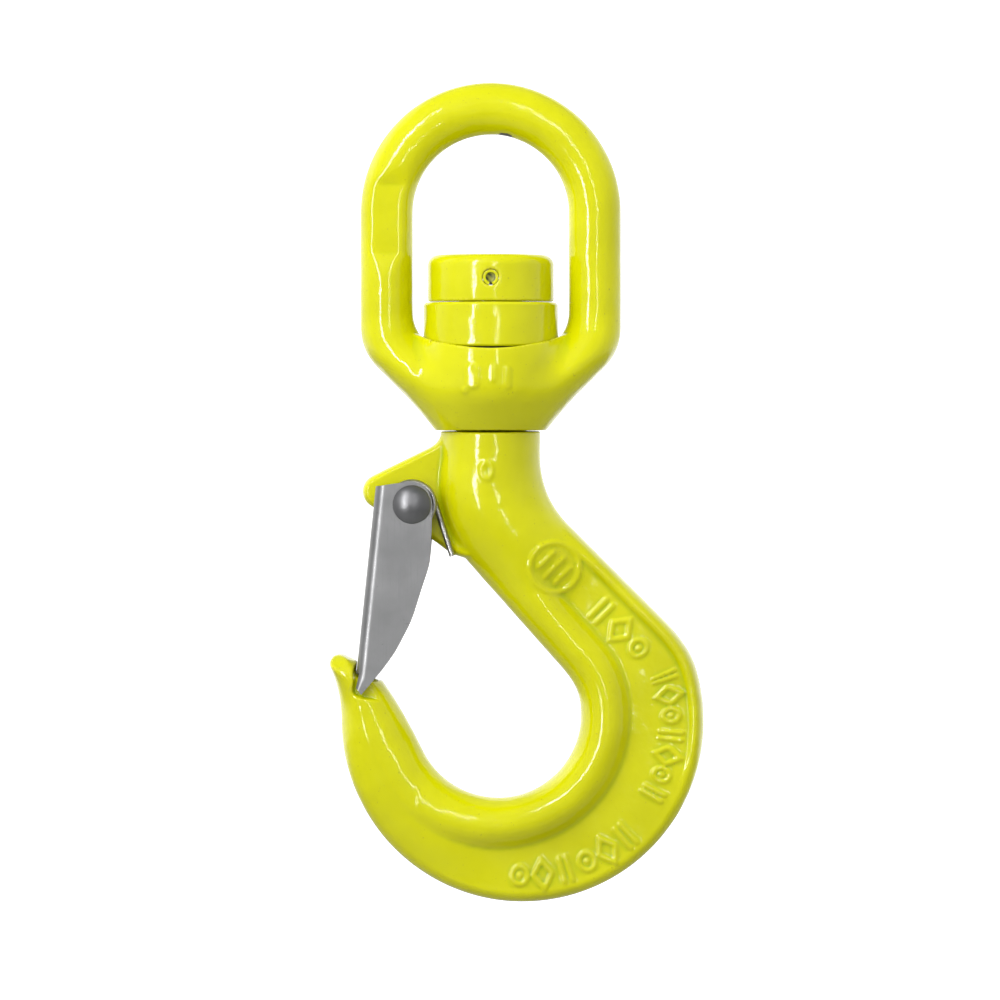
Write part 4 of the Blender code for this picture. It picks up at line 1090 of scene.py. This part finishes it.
# ---- Studio ----
def make_studio():
    """A round white tent: a flat floor that curves up into a wall, a profile turned about the axis."""
    floor_z, flat_r, wall_r, bend_r, top_z = -600.0, 1200.0, 3400.0, 700.0, 2600.0
    bend = arc((wall_r - bend_r, floor_z + bend_r), bend_r, -pi / 2, 0, 40)
    profile = np.concatenate([[(0, floor_z), (flat_r, floor_z)], bend, [(wall_r, top_z)]])
    mesh = turned("tent", profile, steps=96, closed=False)
    finish_mesh(mesh)
    tent = bpy.data.objects.new("tent", mesh)
    bpy.context.scene.collection.objects.link(tent)
    mesh.materials.append(tent_cloth("white_tent_cloth", floor_z * MM))

    world = bpy.data.worlds.new("sky")
    bpy.context.scene.world = world
    world.use_nodes = True
    background = world.node_tree.nodes["Background"]
    background.inputs["Color"].default_value = linear("#f7ffff")
    background.inputs["Strength"].default_value = 0.4

    # name, azimuth and elevation in degrees, distance, width and height in m, watts, and the part
    # that it plays: large boxes give the soft light, and narrow strips the lines in the gloss
    lights = (("key", -30, 44, 0.85, 0.8, 0.8, 7.6, "diffuse"),
              ("strip_left", -30, 14, 1.6, 0.13, 1.7, 21.0, "glossy"),
              ("left_fill", -48, 0, 0.9, 0.6, 0.6, 2.2, "diffuse"),
              ("right_fill", 62, 8, 0.9, 0.6, 0.6, 1.3, "diffuse"),
              ("strip_right", 9, 16, 1.6, 0.035, 1.3, 4.0, "glossy"),
              ("back_fill", -120, 35, 1.9, 1.2, 1.2, 3.0, "both"))
    aim = np.array([0.0, 0.0, -0.06])
    for name, azimuth, elevation, distance, width, height, power, part in lights:
        data = bpy.data.lights.new(name, "AREA")
        data.shape = "RECTANGLE"
        data.size, data.size_y = width, height
        data.energy = power
        a, e = radians(azimuth), radians(elevation)
        light = bpy.data.objects.new(name, data)
        light.location = aim + np.array([sin(a) * cos(e), -cos(a) * cos(e), sin(e)]) * distance
        light.rotation_euler = (pi / 2 - e, 0, a)
        light.visible_camera = False
        light.visible_glossy = part != "diffuse"
        light.visible_diffuse = part != "glossy"
        bpy.context.scene.collection.objects.link(light)


def make_camera():
    """A long lens, level with the hook and a touch above it, square to its flat face."""
    lens, sensor, frame_width, elevation = 180.0, 36.0, 0.308, radians(1.3)
    target = np.array([0.00283, 0.0, -0.1123])
    distance = frame_width * lens / sensor
    data = bpy.data.cameras.new("camera")
    data.lens, data.sensor_width = lens, sensor
    camera = bpy.data.objects.new("camera", data)
    camera.location = target + distance * np.array([0, -cos(elevation), sin(elevation)])
    camera.rotation_euler = (pi / 2 - elevation, 0, 0)
    bpy.context.scene.collection.objects.link(camera)
    bpy.context.scene.camera = camera


# ---- The hook put together ----
def carve(name, field, margin, cell, material, body, node):
    """Make a piece's mesh from its field, in the box of its CAD node with a margin round it."""
    low, high = (np.array(corner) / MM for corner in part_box(node))
    points, faces = skin(field, low - margin, high + margin, cell)
    mesh = new_mesh(name, points, faces)
    mesh.shade_smooth()
    mark_edges(mesh)
    add_piece(name, mesh, material, body, node)


paint = powder_coat("chartreuse_powder_coat")
bail_paint = powder_coat("chartreuse_powder_coat_worn_bare_at_crown", bare_spot=((WEAR_X, -1.0, 0.0), 2.6))
carve("bail_forging", bail_field, 1.5, 0.55, bail_paint, "bail", "bail")
carve("hook_forging", hook_field, 1.5, 0.63, paint, "hook", "hook_body")
carve("swivel_nut_ring", nut_field, 1.0, 0.5, paint, "hook", "swivel_nut")
make_cover(paint)
make_lock_pin(paint)
# The pin plug is olive paint with near-black clouds, painted shade of the pin's open bore.
make_pin_plug(clouded_finish("pin_plug_paint_with_painted_bore_shade", "#9da012", "#1f210b", 0.5, 0.16, metal=0.0))
make_seal(nitrile_rubber("black_nitrile_rubber"))
bearing_steel = clouded_finish("ground_bearing_steel", "#d8d8da", "#c9c9cc", 0.14, 0.8, bump=0.04)
make_race("bearing_race_lower", "lower_race", "bail", bearing_steel)
make_race("bearing_race_upper", "upper_race", "hook", bearing_steel)
for number in range(1, BALL_COUNT + 1):
    make_ball(number, bearing_steel)
make_latch(satin_sheet("plated_sheet_steel"))
make_rivet(clouded_finish("upset_rivet_steel", "#7c7c7e", "#6e6e70", 0.36, 2.5, metal=0.9, bump=0.1))
make_spring(clouded_finish("drawn_spring_wire", "#b9b8b6", "#a3a2a0", 0.32, 0.5))
brass = clouded_finish("pressed_cage_brass", "#d6b45e", "#b8934a", 0.3, 0.9)
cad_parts["ball_cage"].data.materials.clear()
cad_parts["ball_cage"].data.materials.append(brass)
make_studio()
make_camera()
bpy.context.scene.view_settings.view_transform = "Standard"
